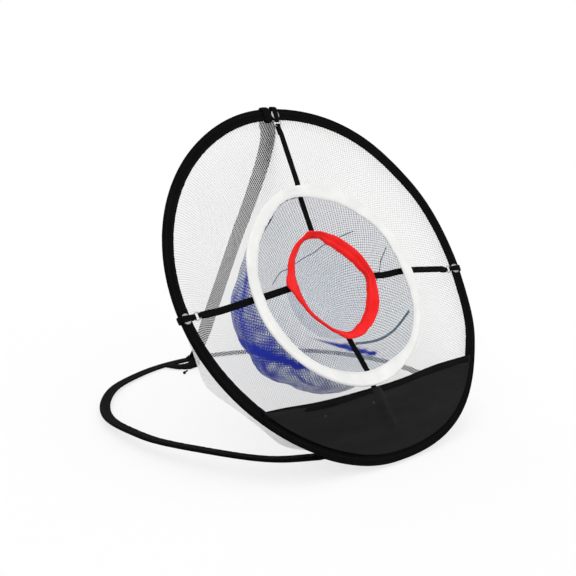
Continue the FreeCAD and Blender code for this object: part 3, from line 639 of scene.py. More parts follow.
def base_wire(angle):
    """Radius of the base hoop's wire, which meets the target hoop's at the fold line."""
    share, end = near_fold(angle, WIRE_EASE)
    shape = BASE_SHAPE(angle) + (HOOP_SHAPE(end) - BASE_SHAPE(angle)) * share
    return BASE_R - SLEEVE_BULB + share * 0.2 * MM + shape * MM + (1 - share) * (SLEEVE_BULB - BASE_BULB)


def base_spot(angle, inward=0.0, up=0.0):
    """A point of the base hoop's band, inward from its wire."""
    share, _ = near_fold(angle, SLEEVE_EASE)
    lift = BASE_LIFT(angle) * MM - (SLEEVE_BULB - BASE_BULB) * (1 - share)
    radius = base_wire(angle) - inward
    return on_base(radius * cos(angle), radius * sin(angle), lift + up)


def hoop_size(angle):
    """Width and bulb of the target hoop's sleeve."""
    return SLEEVE_SHAPE(angle) * MM, SLEEVE_BULB


def base_size(angle):
    """Width and bulb of the base hoop's sleeve."""
    share, end = near_fold(angle, SLEEVE_EASE)
    width = BASE_WIDTH + (SLEEVE_SHAPE(end) * MM - BASE_WIDTH) * share
    return width, BASE_BULB + (SLEEVE_BULB - BASE_BULB) * share


def hoop_stations(count):
    """Stations along the target hoop's wire."""
    return [(hoop_spot(a, SLEEVE_BULB), flat_out(a), FRONT, hoop_size(a)) for a in turns(count)]


def ring_station(angle, radius, out, tag=None):
    """A station of one of the two rings."""
    return ring_spot(angle, radius, out), flat_out(angle), FRONT, tag


def base_stations(count_front, count_rear):
    """Stations round the base hoop: the arc that is sewn to the target hoop's foot, then the loose part."""
    stations = []
    for step in range(count_front + 1):
        angle = -pi / 2 - FRONT_HALF + 2 * FRONT_HALF * step / count_front
        stations.append([hoop_spot(angle, SLEEVE_BULB, FOLD_OUT), flat_out(angle), FRONT, hoop_size(angle)])
    for step in range(1, count_rear):
        angle = -pi / 2 + REAR_HALF + (tau - 2 * REAR_HALF) * step / count_rear
        stations.append([base_spot(angle), base_out(angle), BASE_UP, base_size(angle)])
    for index, side in ((0, -1), (count_front, 1)):
        outward = (stations[index][1] + base_out(-pi / 2 + side * REAR_HALF)).normalized()
        upward = FRONT + BASE_UP
        stations[index][1:3] = outward, (upward - outward * upward.dot(outward)).normalized()
    return [tuple(station) for station in stations]


# Sleeves of the two hoops


def sleeve_section(hem, seed, pucker=0.35 * MM, wave=0.0, steps=5, dent=None):
    """Section rule of a sleeve whose hem puckers along its stitches; a tag starts with width and bulb."""
    def section(tag, length):
        width, bulb = tag[:2]
        reach = width - bulb
        points = []
        for out, up in band_outline(width, bulb, hem, steps):
            slack = max(0.0, -out / reach)
            lift = slack * (pucker * ripple(length * 260, seed, 3) + wave * ripple(length * 45, seed, 5))
            pull = slack ** 2 * pucker * 1.6 * ripple(length * 190, seed + 4, 9)
            skin = 0.10 * MM * ripple(length * 700, out * 900 + up * 400, seed)
            if dent and up > 0:
                lift -= dent(tag[2], out)
            points.append((out + pull + skin, up * (1 + 0.05 * ripple(length * 60, seed, 7)) + lift))
        return points
    return section


def make_sleeves():
    """The cloth sleeves of the two hoops; the base's is one piece that bends at the fold line."""
    section = sleeve_section(SLEEVE_HEM, 1.0)
    piece = sweep("main_sleeve", hoop_stations(320), section, SLEEVE_CLOTH)
    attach(piece, "target")
    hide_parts("main_hoop_sleeve")

    section = sleeve_section(SLEEVE_HEM, 2.0)
    piece = sweep("base_sleeve", base_stations(70, 280), section, SLEEVE_CLOTH)
    keep_above_ground(piece)
    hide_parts("base_hoop_sleeve", "base_hoop_sleeve_front", "front_seam_tape")
    blend_at_fold(piece)


def keep_above_ground(piece):
    """Flattens what would reach under the ground."""
    for vertex in piece.data.vertices:
        vertex.co.z = max(vertex.co.z, 0.0)


def blend_at_fold(piece):
    """Bakes the transform of a piece of the base into its mesh."""
    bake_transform(piece)


# Wires and their crimped tubes, inside the sleeves

HOOP_WIRE = 1.25 * MM
RING_WIRE = 1.0 * MM
TUBE_END = 0.03
# A crimped tube: half its length in mm, its wall and how deep it is pinched near its ends
FERRULE_HALF = 12
FERRULE_WALL = 0.6 * MM
PINCH = 0.28 * MM


def red_wire(angle):
    """Radius of the red ring's wire."""
    return RED_SHAPE(angle) * MM - RED_BULB


def white_wire(angle):
    """Radius of the white ring's wire."""
    return WHITE_R + WHITE_SHAPE(angle) * MM - WHITE_BULB


def round_section(radius):
    """Section of a round wire."""
    return [(radius * cos(angle), radius * sin(angle)) for angle in turns(12)]


def tube(name, path, radius, material, sides=16):
    """A closed tube along a path; radius is a rule of the share of its length."""
    rows, uvs = [], []
    last = len(path) - 1
    angles = turns(sides)
    for spot, scale in [(0, TUBE_END)] + [(spot, 1.0) for spot in range(last + 1)] + [(last, TUBE_END)]:
        tangent = (path[min(spot + 1, last)] - path[max(spot - 1, 0)]).normalized()
        wide = wide - tangent * wide.dot(tangent) if rows else tangent.orthogonal()
        wide.normalize()
        high = tangent.cross(wide)
        size = radius(spot / last) * scale
        rows.append([path[spot] + (wide * cos(a) + high * sin(a)) * size for a in angles])
        run = spot / last * 0.05
        uvs.append(([(run, a * 1.5 * MM) for a in angles], (run, tau * 1.5 * MM)))
    return weld(grid_piece(name, rows, uvs, material, wrap_columns=True))


def make_wires():
    """The spring wires of the hoops and rings, with the tube that joins each one's ends."""
    rings = {"white": (white_wire, WHITE_OUT), "red": (red_wire, RED_OUT)}
    piece = sweep("main_wire", hoop_stations(240), round_section(HOOP_WIRE), STEEL)
    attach(piece, "target")
    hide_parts("main_hoop_wire")
    piece = sweep("base_wire", base_stations(60, 220), round_section(HOOP_WIRE), STEEL)
    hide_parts("base_hoop_wire", "base_hoop_wire_front")
    blend_at_fold(piece)
    for name, (wire, out) in rings.items():
        stations = [ring_station(angle, wire(angle), out) for angle in turns(180)]
        piece = sweep(name + "_wire", stations, round_section(RING_WIRE), STEEL)
        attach(piece, "rings")
        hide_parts(name + "_ring_wire")

    # Each crimped tube: node, body, place in degrees, its wire's radius there in mm, its wire and its route
    spots = (("main_wire_ferrule", "target", 30, 247.4, HOOP_WIRE, lambda a: hoop_spot(a, SLEEVE_BULB)),
             ("base_wire_ferrule", "base", 20, 249.4, HOOP_WIRE, base_spot),
             ("white_ring_ferrule", "rings", 40, 138.5, RING_WIRE,
              lambda a: ring_spot(a, white_wire(a), WHITE_OUT)),
             ("red_ring_ferrule", "rings", 40, 70.6, RING_WIRE, lambda a: ring_spot(a, red_wire(a), RED_OUT)))
    for node, body, turn, radius, wire, place in spots:
        half = FERRULE_HALF / radius
        path = [place(radians(turn) + half * (step / 8 - 1)) for step in range(17)]

        def crimped(share, wire=wire):
            return wire + FERRULE_WALL - PINCH * (bell(share, 0.2, 0.06) + bell(share, 0.8, 0.06))
        piece = tube(node + "_tube", path, crimped, FERRULE)
        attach(piece, body)
        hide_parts(node)


# The two rings

# The crease at the white ring's top: its place in degrees and how far inward, its spreads and its depth
DENT_TURN = 96
DENT_IN = 5 * MM
DENT_SPREAD = 4.5
DENT_WIDE = 1.5 * MM
DENT = 1.1 * MM
# The red ring: how far back its inner edge lies and how much further on its right, in mm, and its groove
RED_BACK = 6.2
RED_BACK_RIGHT = 2.2
RED_GROOVE = 2.0 * MM
GROOVE_TURN = radians(40)


def white_dent(angle, out):
    """The soft crease at the white ring's top, where the strap behind it pulls."""
    turn = degrees(angle) - DENT_TURN
    return DENT * exp(-((out + DENT_IN) / DENT_WIDE) ** 2 - (turn / DENT_SPREAD) ** 2)


NAVY_PEEK = marks((85, -1.5), (100, 0.7), (117, 1.0), (126, 2.6), (140, 1.4), (165, 1.0), (200, 1.1),
                  (240, 0.9), (262, 0.5), (280, -1.5))


def make_white_ring():
    """The white ring's band and the navy binding that holds the blue bag to it."""
    stations, binding = [], []
    for angle in turns(260):
        wire, inner = white_wire(angle), WHITE_INNER(angle) * MM
        stations.append(ring_station(angle, wire, WHITE_OUT, (wire + WHITE_BULB - inner, WHITE_BULB, angle)))
        binding.append(ring_station(angle, inner, WHITE_OUT - 2.0 * MM, NAVY_PEEK(angle) * MM))
    section = sleeve_section(1.3 * MM, 5.0, pucker=0.6 * MM, wave=0.8 * MM, steps=10, dent=white_dent)
    piece = sweep("white_band", stations, section, WHITE_CLOTH)
    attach(piece, "rings")
    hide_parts("white_ring_band")

    def folded(peek, length):
        edge = -peek + 0.5 * MM * ripple(length * 300, 3, 15)
        return [(edge, 0.5 * MM), (4 * MM, 0.5 * MM), (5 * MM, 0.0), (4 * MM, -0.5 * MM), (edge, -0.5 * MM),
                (edge - 0.4 * MM, 0.0)]
    piece = sweep("navy_binding", binding, folded, NAVY_CLOTH)
    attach(piece, "rings")
    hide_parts("blue_bag_tape")


def make_red_ring():
    """The red ring's band: its skin is pulled out at four tips, and its inner edge lies further back."""
    stations = []
    for angle in turns(300):
        outer = RED_SHAPE(angle) * MM
        back = (RED_BACK + RED_BACK_RIGHT * max(0.0, cos(angle))) * MM
        groove = RED_GROOVE * max(0.0, cos(angle - GROOVE_TURN)) ** 0.5
        tag = outer - RED_INNER(angle) * MM, back, groove
        stations.append(ring_station(angle, outer - RED_BULB, RED_OUT, tag))

    def section(tag, length):
        width, back, groove = tag
        reach = width - RED_BULB
        points = []
        for out, up in band_outline(width, RED_BULB, 1.0 * MM, 14):
            slack = max(0.0, -out / reach)
            crumple = slack * (0.55 * MM * ripple(length * 150, out * 300, 11)
                               + 0.3 * MM * ripple(length * 420, out * 500, 12))
            points.append((out, up - back * slack ** 1.4 + crumple - groove * bell(slack, 0.5, 0.14)))
        return points
    piece = sweep("red_band", stations, section, RED_CLOTH)
    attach(piece, "rings")
    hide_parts("red_ring_band")


# Nets

NET_ROUND = 0.8
SIDE_STEPS = 44
BACK_STEPS = 14


class Net:
    """A net that hangs from its mouth, which follows a ring, and sinks towards its back.

    mouth is a rule of the angle, end the back's radius, sink how far the back hangs lower and full how late
    the side turns in. The mouth's middle is at the height middle_at, and start_out says how far out it lies.
    """

    def __init__(self, mouth, end, depth, sink, full, middle_at, start_out, folds, ground=None):
        self.mouth, self.end, self.depth, self.sink, self.full = mouth, end, depth, sink, full
        self.middle_at, self.start_out, self.folds, self.ground = middle_at, start_out, folds, ground

    def point(self, angle, share, inside=1.0, proud=0.0):
        """A point of its side at a share of its depth, or of its back, where inside runs from 1 to 0."""
        mouth = self.mouth(angle)
        radius = self.end + (mouth - self.end) * max(0.0, 1 - share ** self.full) ** NET_ROUND
        out = (radius + proud + self.folds(angle, share)) * inside
        back = self.depth * share + 1.5 * MM * (1 - inside ** 2)
        place = target(out * cos(angle), self.middle_at + out * sin(angle) - self.sink * share ** 2,
                       self.start_out - back)
        if self.ground is not None:
            place.z = max(place.z, self.ground + 0.5 * MM * (1 + ripple(place.x * 40, place.y * 40, 2)))
        return place

    def build(self, name, columns, material, gather=None):
        """Its mesh: the side, with lengths round its mouth as UVs, and the flat-cut back."""
        angles = turns(columns)
        around = angles + [tau]
        wide = sum(self.mouth(angle) for angle in around) / len(around)
        depths = [1 - (1 - step / SIDE_STEPS) ** 1.5 for step in range(SIDE_STEPS + 1)]
        rows = [[self.point(angle, share) for angle in angles] for share in depths]
        runs = run_lengths([row[0] for row in rows])
        uvs = [([(wide * angle, run) for angle in angles], (wide * tau, run)) for run in runs]
        shares = [gather(angle, share) if gather else 0.0 for share in depths for angle in around]
        for inside in (max(1 - step / BACK_STEPS, 0.01) for step in range(BACK_STEPS + 1)):
            row = [self.point(angle, 1.0, inside) for angle in angles]
            flat = [((p - HOOP_AT).dot(RIGHT), (p - HOOP_AT).dot(UP)) for p in row]
            rows.append(row)
            uvs.append((flat, flat[0]))
            shares += [gather(angle, 1.0) * inside if gather else 0.0 for angle in around]
        piece = grid_piece(name, rows, uvs, material, wrap_columns=True, breaks=(SIDE_STEPS,))
        attribute = piece.data.attributes.new("gather", "FLOAT", "POINT")
        attribute.data.foreach_set("value", shares)
        return weld(piece)


# Where the catch net's low left side bags out: degrees, half their spread, share of the depth, its spread, mm
CATCH_LOBES = ((201, 9, 0.47, 0.26, 13.0), (233, 9, 0.34, 0.22, 9.0))


def catch_folds(angle, share):
    """Soft long folds that start at the mouth and deepen towards the back."""
    turn = degrees(angle) % 360
    lobes = sum(size * exp(-((turn - at) / spread) ** 2 - ((share - deep) / reach) ** 2)
                for at, spread, deep, reach, size in CATCH_LOBES)
    long_folds = ripple(angle * 2.2 / tau * 8, share * 1.2, 21) + 0.5 * ripple(angle * 5, share * 2.5, 22)
    slack = min(1.0, share * 3)
    fine = 0.7 * MM * ripple(angle * 40, share * 6, 23)
    return (3.0 * MM * long_folds - 1.0 * MM + fine + lobes * MM) * slack


# The bag's streaks as (degrees, share of the depth) points, with their width in mm and their strength
STREAKS = (
    (((150, 0.05), (165, 0.15), (176, 0.26), (184, 0.42), (194, 0.52)), 5.0, 0.75),
    (((187, 0.78), (190, 0.66), (196, 0.52), (204, 0.37), (213, 0.27), (224, 0.15)), 7.5, 1.25),
    (((204, 0.40), (214, 0.62), (224, 0.80), (236, 0.92)), 5.0, 0.75),
    (((222, 0.30), (236, 0.40), (246, 0.42)), 4.0, 0.7),
    (((176, 0.30), (180, 0.50), (184, 0.62), (188, 0.76)), 6.0, 0.6),
    (((336, 1.0), (331, 0.95), (326, 0.86), (321, 0.72)), 3.4, 1.1),
    (((240, 0.04), (262, 0.10), (285, 0.05)), 6.0, 0.9),
)
# The bag's size for them: mm per degree round it, and its depth in mm
STREAK_TURN = 1.9
STREAK_DEPTH = 110


def near_streak(turn, share, points):
    """Distance in mm from a place of the bag to a streak."""
    across, down = turn * STREAK_TURN, share * STREAK_DEPTH
    best = 1e9
    for (angle_a, share_a), (angle_b, share_b) in zip(points, points[1:]):
        ax, bx = angle_a * STREAK_TURN, angle_b * STREAK_TURN
        ay, by = share_a * STREAK_DEPTH, share_b * STREAK_DEPTH
        run = (bx - ax) ** 2 + (by - ay) ** 2
        near = clamp(((across - ax) * (bx - ax) + (down - ay) * (by - ay)) / run)
        best = min(best, hypot(across - ax - (bx - ax) * near, down - ay - (by - ay) * near))
    return best


def bunch(angle, share):
    """How gathered the blue bag is: ragged streaks, mostly low on its left side."""
    turn = degrees(angle) % 360
    ragged = 1.0 + 0.9 * ripple(angle * 16.0, share * 11.0, 32)
    level = max(strength * bell(near_streak(turn, share, points), 0.0, width * ragged + 0.01)
                for points, width, strength in STREAKS)
    side = bell(turn, 196, 38) * clamp((share - 0.04) * 6)
    low = bell(turn, 250, 32) * clamp((share - 0.02) * 6)
    patch = 0.5 + 0.5 * ripple(angle * 8.0, share * 6.0, 36)
    return min(1.0, max(0.0, level, side * patch, low * 0.6 * patch))


# How far the bag's left side bellies out and how deep its waist there is, in mm
BELLY = 16.0
WAIST = 4.5


def bag_lobe(angle, share):
    """How far the left side of the blue bag bellies out, with a waist where it is tied up by its folds."""
    turn = degrees(angle) % 360
    return (BELLY * bell(turn, 190, 30, 4) - WAIST * bell(turn, 195, 6)) * MM * clamp((share - 0.15) / 0.4)


def bag_folds(angle, share):
    """Ragged folds of the blue bag, deepest where it is gathered."""
    slack = min(1.0, share * 2.5)
    crease = abs(ripple(angle * 3.4, share * 2.6, 33))
    fine = ripple(angle * 14, share * 9, 34)
    gathered = bunch(angle, share)
    folds = slack * (-5.0 * MM * crease + 1.2 * MM + 1.0 * MM * fine) * (0.5 + gathered)
    return bag_lobe(angle, share) + folds


def cup_folds(angle, share):
    """Shallow creases of the small bag."""
    crease = abs(ripple(angle * 2.6, share * 3.0, 41))
    return min(1.0, share * 3) * (-4.0 * MM * crease + 1.0 * MM)


# Seams of the blue bag as (degrees, share of the depth) points, with their width in mm
BAG_SEAMS = (
    ("bag_seam_top", ((107, 0.96), (94, 0.92), (84, 0.90), (68, 0.82), (60, 0.76), (54, 0.66), (46, 0.5),
                      (40, 0.32)), 1.5),
    ("bag_seam_side", ((18, 0.1), (16, 0.2), (14, 0.3), (10, 0.4), (7, 0.5)), 1.3),
    ("bag_seam_low", ((336, 0.92), (333, 0.8), (331, 0.65), (331, 0.5), (332, 0.36), (336, 0.12)), 5.0),
)


def make_nets():
    """The three nets and the seams of the blue one."""
    catch = Net(lambda angle: HOOP_R + (HOOP_SHAPE(angle) - SLEEVE_SHAPE(angle)) * MM - 0.2 * MM,
                end=95 * MM, depth=127 * MM, sink=56 * MM, full=1.9, middle_at=0.0, start_out=-0.8 * MM,
                folds=catch_folds, ground=GROUND)
    bag = Net(lambda angle: (WHITE_INNER(angle) + 4.0) * MM,
              end=65 * MM, depth=99 * MM, sink=38 * MM, full=3.2, middle_at=RING_UP,
              start_out=-1.8 * MM + 4 * MM, folds=bag_folds)
    cup = Net(lambda angle: (RED_INNER(angle) + 3.0) * MM,
              end=29 * MM, depth=52 * MM, sink=14 * MM, full=2.4, middle_at=RING_UP, start_out=-2.6 * MM,
              folds=cup_folds)

    piece = catch.build("catch_cloth", 288, WHITE_NET)
    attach(piece, "target")
    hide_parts("catch_net", "catch_net_tape")
    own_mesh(piece)

    pieces = [bag.build("bag_cloth", 288, BLUE_NET, bunch)]
    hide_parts("blue_bag")
    pieces.append(cup.build("cup_cloth", 180, PALE_NET))
    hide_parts("inner_bag", "inner_bag_tape")
    for name, places, width in BAG_SEAMS:
        path = [bag.point(radians(angle), share, proud=0.5 * MM) for angle, share in places]
        half = len(places) // 2
        nearer = bag.point(radians(places[half][0]), places[half][1], proud=2 * MM)
        side = (path[half + 1] - path[half]).cross(nearer - path[half])
        pieces.append(ribbon(name, smooth_path(path, 8), side.normalized(), width * MM, 0.5 * MM,
                             SEAM_NET if width > 3 else NAVY_CLOTH))
    for piece in pieces:
        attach(piece, "rings")
        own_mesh(piece)


# Apron

APRON_TOP = -146 * MM
APRON_SAG = 6.8 * MM
SAG_AT = -25 * MM
SAG_REACH = 115 * MM
APRON_LAP = 5 * MM
HEM_HEIGHT = 9 * MM
# A first guess at the radius of its lower edge
EDGE_R = 238 * MM
# The area under the sag's rule, in sag times reach: 2 * gamma(5/4)
SAG_AREA = 1.81
# The hem's section, as its share of the height below the apron's top and its lift in mm
HEM_OUTLINE = ((0.0, 0.5), (0.15, 1.0), (0.5, 0.85), (0.85, 1.0), (1.0, 0.6), (1.0, 0.1), (0.5, 0.0),
               (0.0, -0.1), (-0.06, 0.2), (0.0, 0.5))


def apron_edge(across):
    """Height of the apron's lower edge, on the hoop's sleeve."""
    up = -sqrt(max(EDGE_R ** 2 - across ** 2, 0.0))
    for _ in range(3):
        angle = atan2(up, across)
        radius = HOOP_R + (HOOP_SHAPE(angle) - SLEEVE_SHAPE(angle)) * MM + APRON_LAP
        up = -sqrt(max(radius ** 2 - across ** 2, 0.0))
    return up


def apron_end(side):
    """Where the apron's top edge meets the hoop's sleeve, to the left or right."""
    across = 0.0
    while apron_edge(side * across) < APRON_TOP:
        across += 0.5 * MM
    return side * across


APRON_LEFT, APRON_RIGHT = apron_end(-1), apron_end(1)


def apron_top(across):
    """Height of the apron's top edge, which the bottom strap pulls down in the middle."""
    return APRON_TOP - APRON_SAG * bell(across, SAG_AT, SAG_REACH, 4)


def apron_out(across):
    """How far in front of the hoop's plane the apron lies: it passes behind the white ring."""
    return (0.5 + 1.6 * min(1.0, (across / (75 * MM)) ** 2)) * MM


def apron_point(across, share):
    """A point of the apron: share 0 is its top edge and share 1 the hoop's sleeve."""
    top = apron_top(across)
    low = min(apron_edge(across), top)
    up = top + (low - top) * share
    free = sin(share * pi)
    folds = free * (3.4 * MM * ripple(across * 9, up * 52, 51) + 1.3 * MM * ripple(across * 26, up * 120, 52))
    strap = 3.0 * MM * bell(across, 3 * MM * share, 6 * MM, 4) * clamp((up + 0.212) / 0.01)
    belly = 2.0 * MM * free * (1 - (across / APRON_RIGHT) ** 2)
    lap = 2.0 * MM * share ** 6
    return target(across, up, apron_out(across) + folds + strap + belly + lap), up


def make_apron():
    """The black cloth across the target's foot, with its hem."""
    middle_at, half = (APRON_LEFT + APRON_RIGHT) / 2, (APRON_RIGHT - APRON_LEFT) / 2
    rows, uvs = [], []
    for i in range(61):
        points = [(middle_at + half * sin(pi / 2 * (j / 80 - 1)), i / 60) for j in range(161)]
        row = [apron_point(*place) for place in points]
        rows.append([point for point, _ in row])
        uvs.append([(across, up) for (across, _), (_, up) in zip(points, row)])
    piece = grid_piece("apron_cloth", rows, uvs, APRON_CLOTH)
    modifier = piece.modifiers.new("thickness", "SOLIDIFY")
    modifier.thickness = 0.5 * MM
    modifier.offset = 0.0
    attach(piece, "target")
    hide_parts("apron")

    rows, uvs = [], []
    for j in range(181):
        across = APRON_LEFT + 0.4 * MM + (APRON_RIGHT - APRON_LEFT - 0.8 * MM) * j / 180
        row = []
        for share, height in HEM_OUTLINE:
            up = apron_top(across) - HEM_HEIGHT * share + 0.25 * MM * ripple(across * 150, share, 53)
            lift = height * MM + 0.2 * MM * ripple(across * 80, share * 2, 54)
            row.append(target(across, up, apron_out(across) + lift))
        rows.append(row)
        uvs.append([(across, around) for around in run_lengths(row)])
    hem = weld(grid_piece("apron_hem_cloth", rows, uvs, HEM_CLOTH))
    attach(hem, "target")
    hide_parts("apron_hem")
    radius = HOOP_R - 16 * MM + APRON_LAP
    cut = radius ** 2 * acos(-APRON_TOP / radius) + APRON_TOP * sqrt(radius ** 2 - APRON_TOP ** 2)
    cut -= APRON_SAG * SAG_REACH * SAG_AREA


# Straps, loops and hardware

LINK_R = 4.75 * MM
LINK_WIRE = 0.75 * MM
LINK_TURN = radians(20)
LINK_REACH = {"left": 10 * MM, "right": 5 * MM, "top": 5 * MM}
LINK_GRIP = 3.0 * MM
TOP_SHIFT = 6 * MM


class Rim:
    """One of the three places where a strap is linked to the target hoop."""

    def __init__(self, side):
        across, up, _ = flat_place("link_ring_" + side)
        self.angle = atan2(up, across) - (TOP_SHIFT / HOOP_R if side == "top" else 0.0)
        self.edge = HOOP_R + HOOP_SHAPE(self.angle) * MM
        self.width = SLEEVE_SHAPE(self.angle) * MM
        self.link_r = self.edge - self.width - LINK_REACH[side]
        self.link = Vector((cos(self.angle), sin(self.angle))) * self.link_r


def link_lean(across):
    """How far out a point of a link ring lies, from its distance across its middle."""
    return across * tan(LINK_TURN)


def strap_path(points, rim):
    """A strap's route in the target's plane: through its points, round the link ring and back."""
    along = (rim.link - points[-1]).normalized()
    wire = rim.link - along * LINK_R
    lean = link_lean(wire.x - rim.link.x) / MM
    flat = [(place, 0.0) for place in points]
    flat += [(wire - along * 9 * MM, 0.5), (wire - along * 3 * MM, 1.0 + lean * 0.7),
             (wire + along * 0.8 * MM, 1.35 + lean), (wire + along * (LINK_GRIP - 0.2 * MM), 0.7 + lean),
             (wire + along * LINK_GRIP, -0.4 + lean), (wire + along * 1.0 * MM, -1.4 + lean),
             (wire - along * 3 * MM, -1.3 + lean * 0.5), (wire - along * 13 * MM, -1.1)]
    path = [target(place.x, place.y, out * MM) for place, out in flat]
    return smooth_path(path, 8), RIGHT * -along.y + UP * along.x


def strap_width(share):
    """Width of a strap along its length: gathered where it goes round the link ring."""
    return STRAP_WIDTH * (1 - 0.42 * bell(share, 0.885, 0.035))


# The straps' routes from the red ring outwards, as (across, up) in mm, and how far out the bottom one lies
BOTTOM_OUT = (-0.3, 0.0, 0.0, -0.6, -1.0, -1.4)
STRAP_POINTS = {
    "left": ((-72, -3.8), (-79, -4.6), (-121, -9.4), (-141.5, -11.1), (-189, -16.3)),
    "right": ((70, -7.4), (76.4, -7.8), (95.5, -8.9), (123, -7.9), (148, -8.9), (185, -12.9)),
    "top": ((-7.2, 60), (-6.5, 71), (-3.6, 119), (0.2, 137), (3.2, 182)),
    "bottom": ((-13.5, -76), (-12, -87), (-3.6, -127), (-1.9, -146), (1.7, -200), (4, -228)),
}


def make_cross_straps():
    """The four straps that hold the two rings."""
    for side, places in STRAP_POINTS.items():
        points = [Vector(place) * MM for place in places]
        if side == "bottom":
            path = smooth_path([target(p.x, p.y, out * MM) for p, out in zip(points, BOTTOM_OUT)], 8)
            wide, width = RIGHT, STRAP_WIDTH
        else:
            path, wide = strap_path(points, Rim(side))
            width = strap_width
        piece = ribbon("strap_" + side, path, wide, width, WEB_THICK, WEBBING,
                       seed=len(side), rough=0.3 * MM)
        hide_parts("cross_strap_" + side)
        end = target(*points[-1]) if side == "bottom" else target(*Rim(side).link)
        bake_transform(piece)


def wrap_path(centre, outward, upward, gap, inner, eye, reach, proud=0.0, lean=0.0, bulb=SLEEVE_BULB):
    """A loop's route round a sleeve's section: centre is the wire; inner is the hem and reach the far end."""
    size = bulb + gap
    hem = SLEEVE_HEM + gap
    angles = [pi / 2 - pi * step / 6 for step in range(7)]
    flat = [((size + proud) * cos(angle), size * sin(angle)) for angle in angles]
    flat += [(MM - inner, -hem), (1.5 * MM - reach, lean - eye), (-reach, lean),
             (1.5 * MM - reach, lean + eye), (MM - inner, hem)]
    return smooth_path([centre + outward * out + upward * up for out, up in flat], 6, closed=True)


def loop_width(share):
    """Width of a tie loop along its length."""
    return (7.6 + 1.0 * cos(tau * (share - 0.12))) * MM


# The eyelet's section, as radius and height in mm
EYELET_R = 5
EYELET = ((3.2, -0.3), (3.25, 0.45), (3.5, 0.75), (4.1, 0.8), (4.9, 0.5), (5.9, 0.4), (6.6, 0.2), (6.8, -0.1),
          (6.5, -0.3), (4.8, -0.2))


def make_rim_ends():
    """At each linked strap: the eyelet, the loop of webbing over it and the link ring."""
    for side, proud in (("left", 0.7 * MM), ("right", 0.8 * MM), ("top", 1.6 * MM)):
        rim = Rim(side)
        outward, sideways = flat_out(rim.angle), FRONT.cross(flat_out(rim.angle))
        centre = HOOP_AT + outward * (rim.edge - SLEEVE_BULB)
        far = rim.link_r + LINK_R - LINK_GRIP
        lean = link_lean(cos(rim.angle) * (far - rim.link_r))
        path = wrap_path(centre, outward, FRONT, 1.3 * MM, rim.width - SLEEVE_BULB, 1.2 * MM,
                         rim.edge - SLEEVE_BULB - far, proud, lean)
        loop = ribbon("loop_" + side, path, sideways, loop_width, WEB_THICK, WEBBING,
                      closed=True, seed=20 + len(side), rough=0.3 * MM)

        middle_at = HOOP_AT + outward * rim.link_r
        wide = RIGHT * cos(LINK_TURN) + FRONT * sin(LINK_TURN)
        radials = [wide * cos(angle) + UP * sin(angle) for angle in turns(48)]
        stations = [(middle_at + radial * LINK_R, radial, wide.cross(UP), None) for radial in radials]
        ring = sweep("ring_" + side, stations, round_section(LINK_WIRE), NICKEL)

        slope = (SLEEVE_BULB - SLEEVE_HEM) / (rim.width - SLEEVE_BULB)
        up = (FRONT - outward * slope).normalized()
        seat = hoop_spot(rim.angle, (SLEEVE_BULB + rim.width) / 2, (SLEEVE_BULB + SLEEVE_HEM) / 2 + 0.15 * MM)
        radials = [sideways * cos(angle) + up.cross(sideways) * sin(angle) for angle in turns(48)]
        stations = [(seat + radial * EYELET_R * MM, radial, up, None) for radial in radials]
        section = [((radius - EYELET_R) * MM, height * MM) for radius, height in EYELET]
        eyelet = sweep("eyelet_ring_" + side, stations, section, NICKEL)
        for piece, node in ((loop, "tie_loop_"), (ring, "link_ring_"), (eyelet, "eyelet_")):
            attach(piece, "target")
            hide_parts(node + side)


# The stay

STAY_WIDTH = 21 * MM
# The stay's lie off the straight line, as (share of its length, mm to the right, mm of sag)
STAY_LIE = ((0.03, 7.5, 1.0), (0.06, 14.0, 2.2), (0.10, 17.0, 3.6), (0.18, 17.4, 5.8), (0.3, 13.0, 8.4),
            (0.45, 6.4, 9.9), (0.62, 3.2, 9.4), (0.8, 2.4, 6.4), (0.93, 4.0, 2.6))
STAY_TIE = -1 * MM
STAY_TURN = radians(20)
# The tail's route from the tie, in mm to the right, backwards and up, and how flat it lies
TAIL_LIE = ((-5, -6, 13), (-10, -18, 12), (-18, -28, 11), (-31, -33, 11), (-43, -29, 11), (-54, -19, 12),
            (-61, -12, 13))
TAIL_FLAT = 0.27
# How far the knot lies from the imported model's
KNOT_AWAY = Vector((-42, -26, 0)) * MM


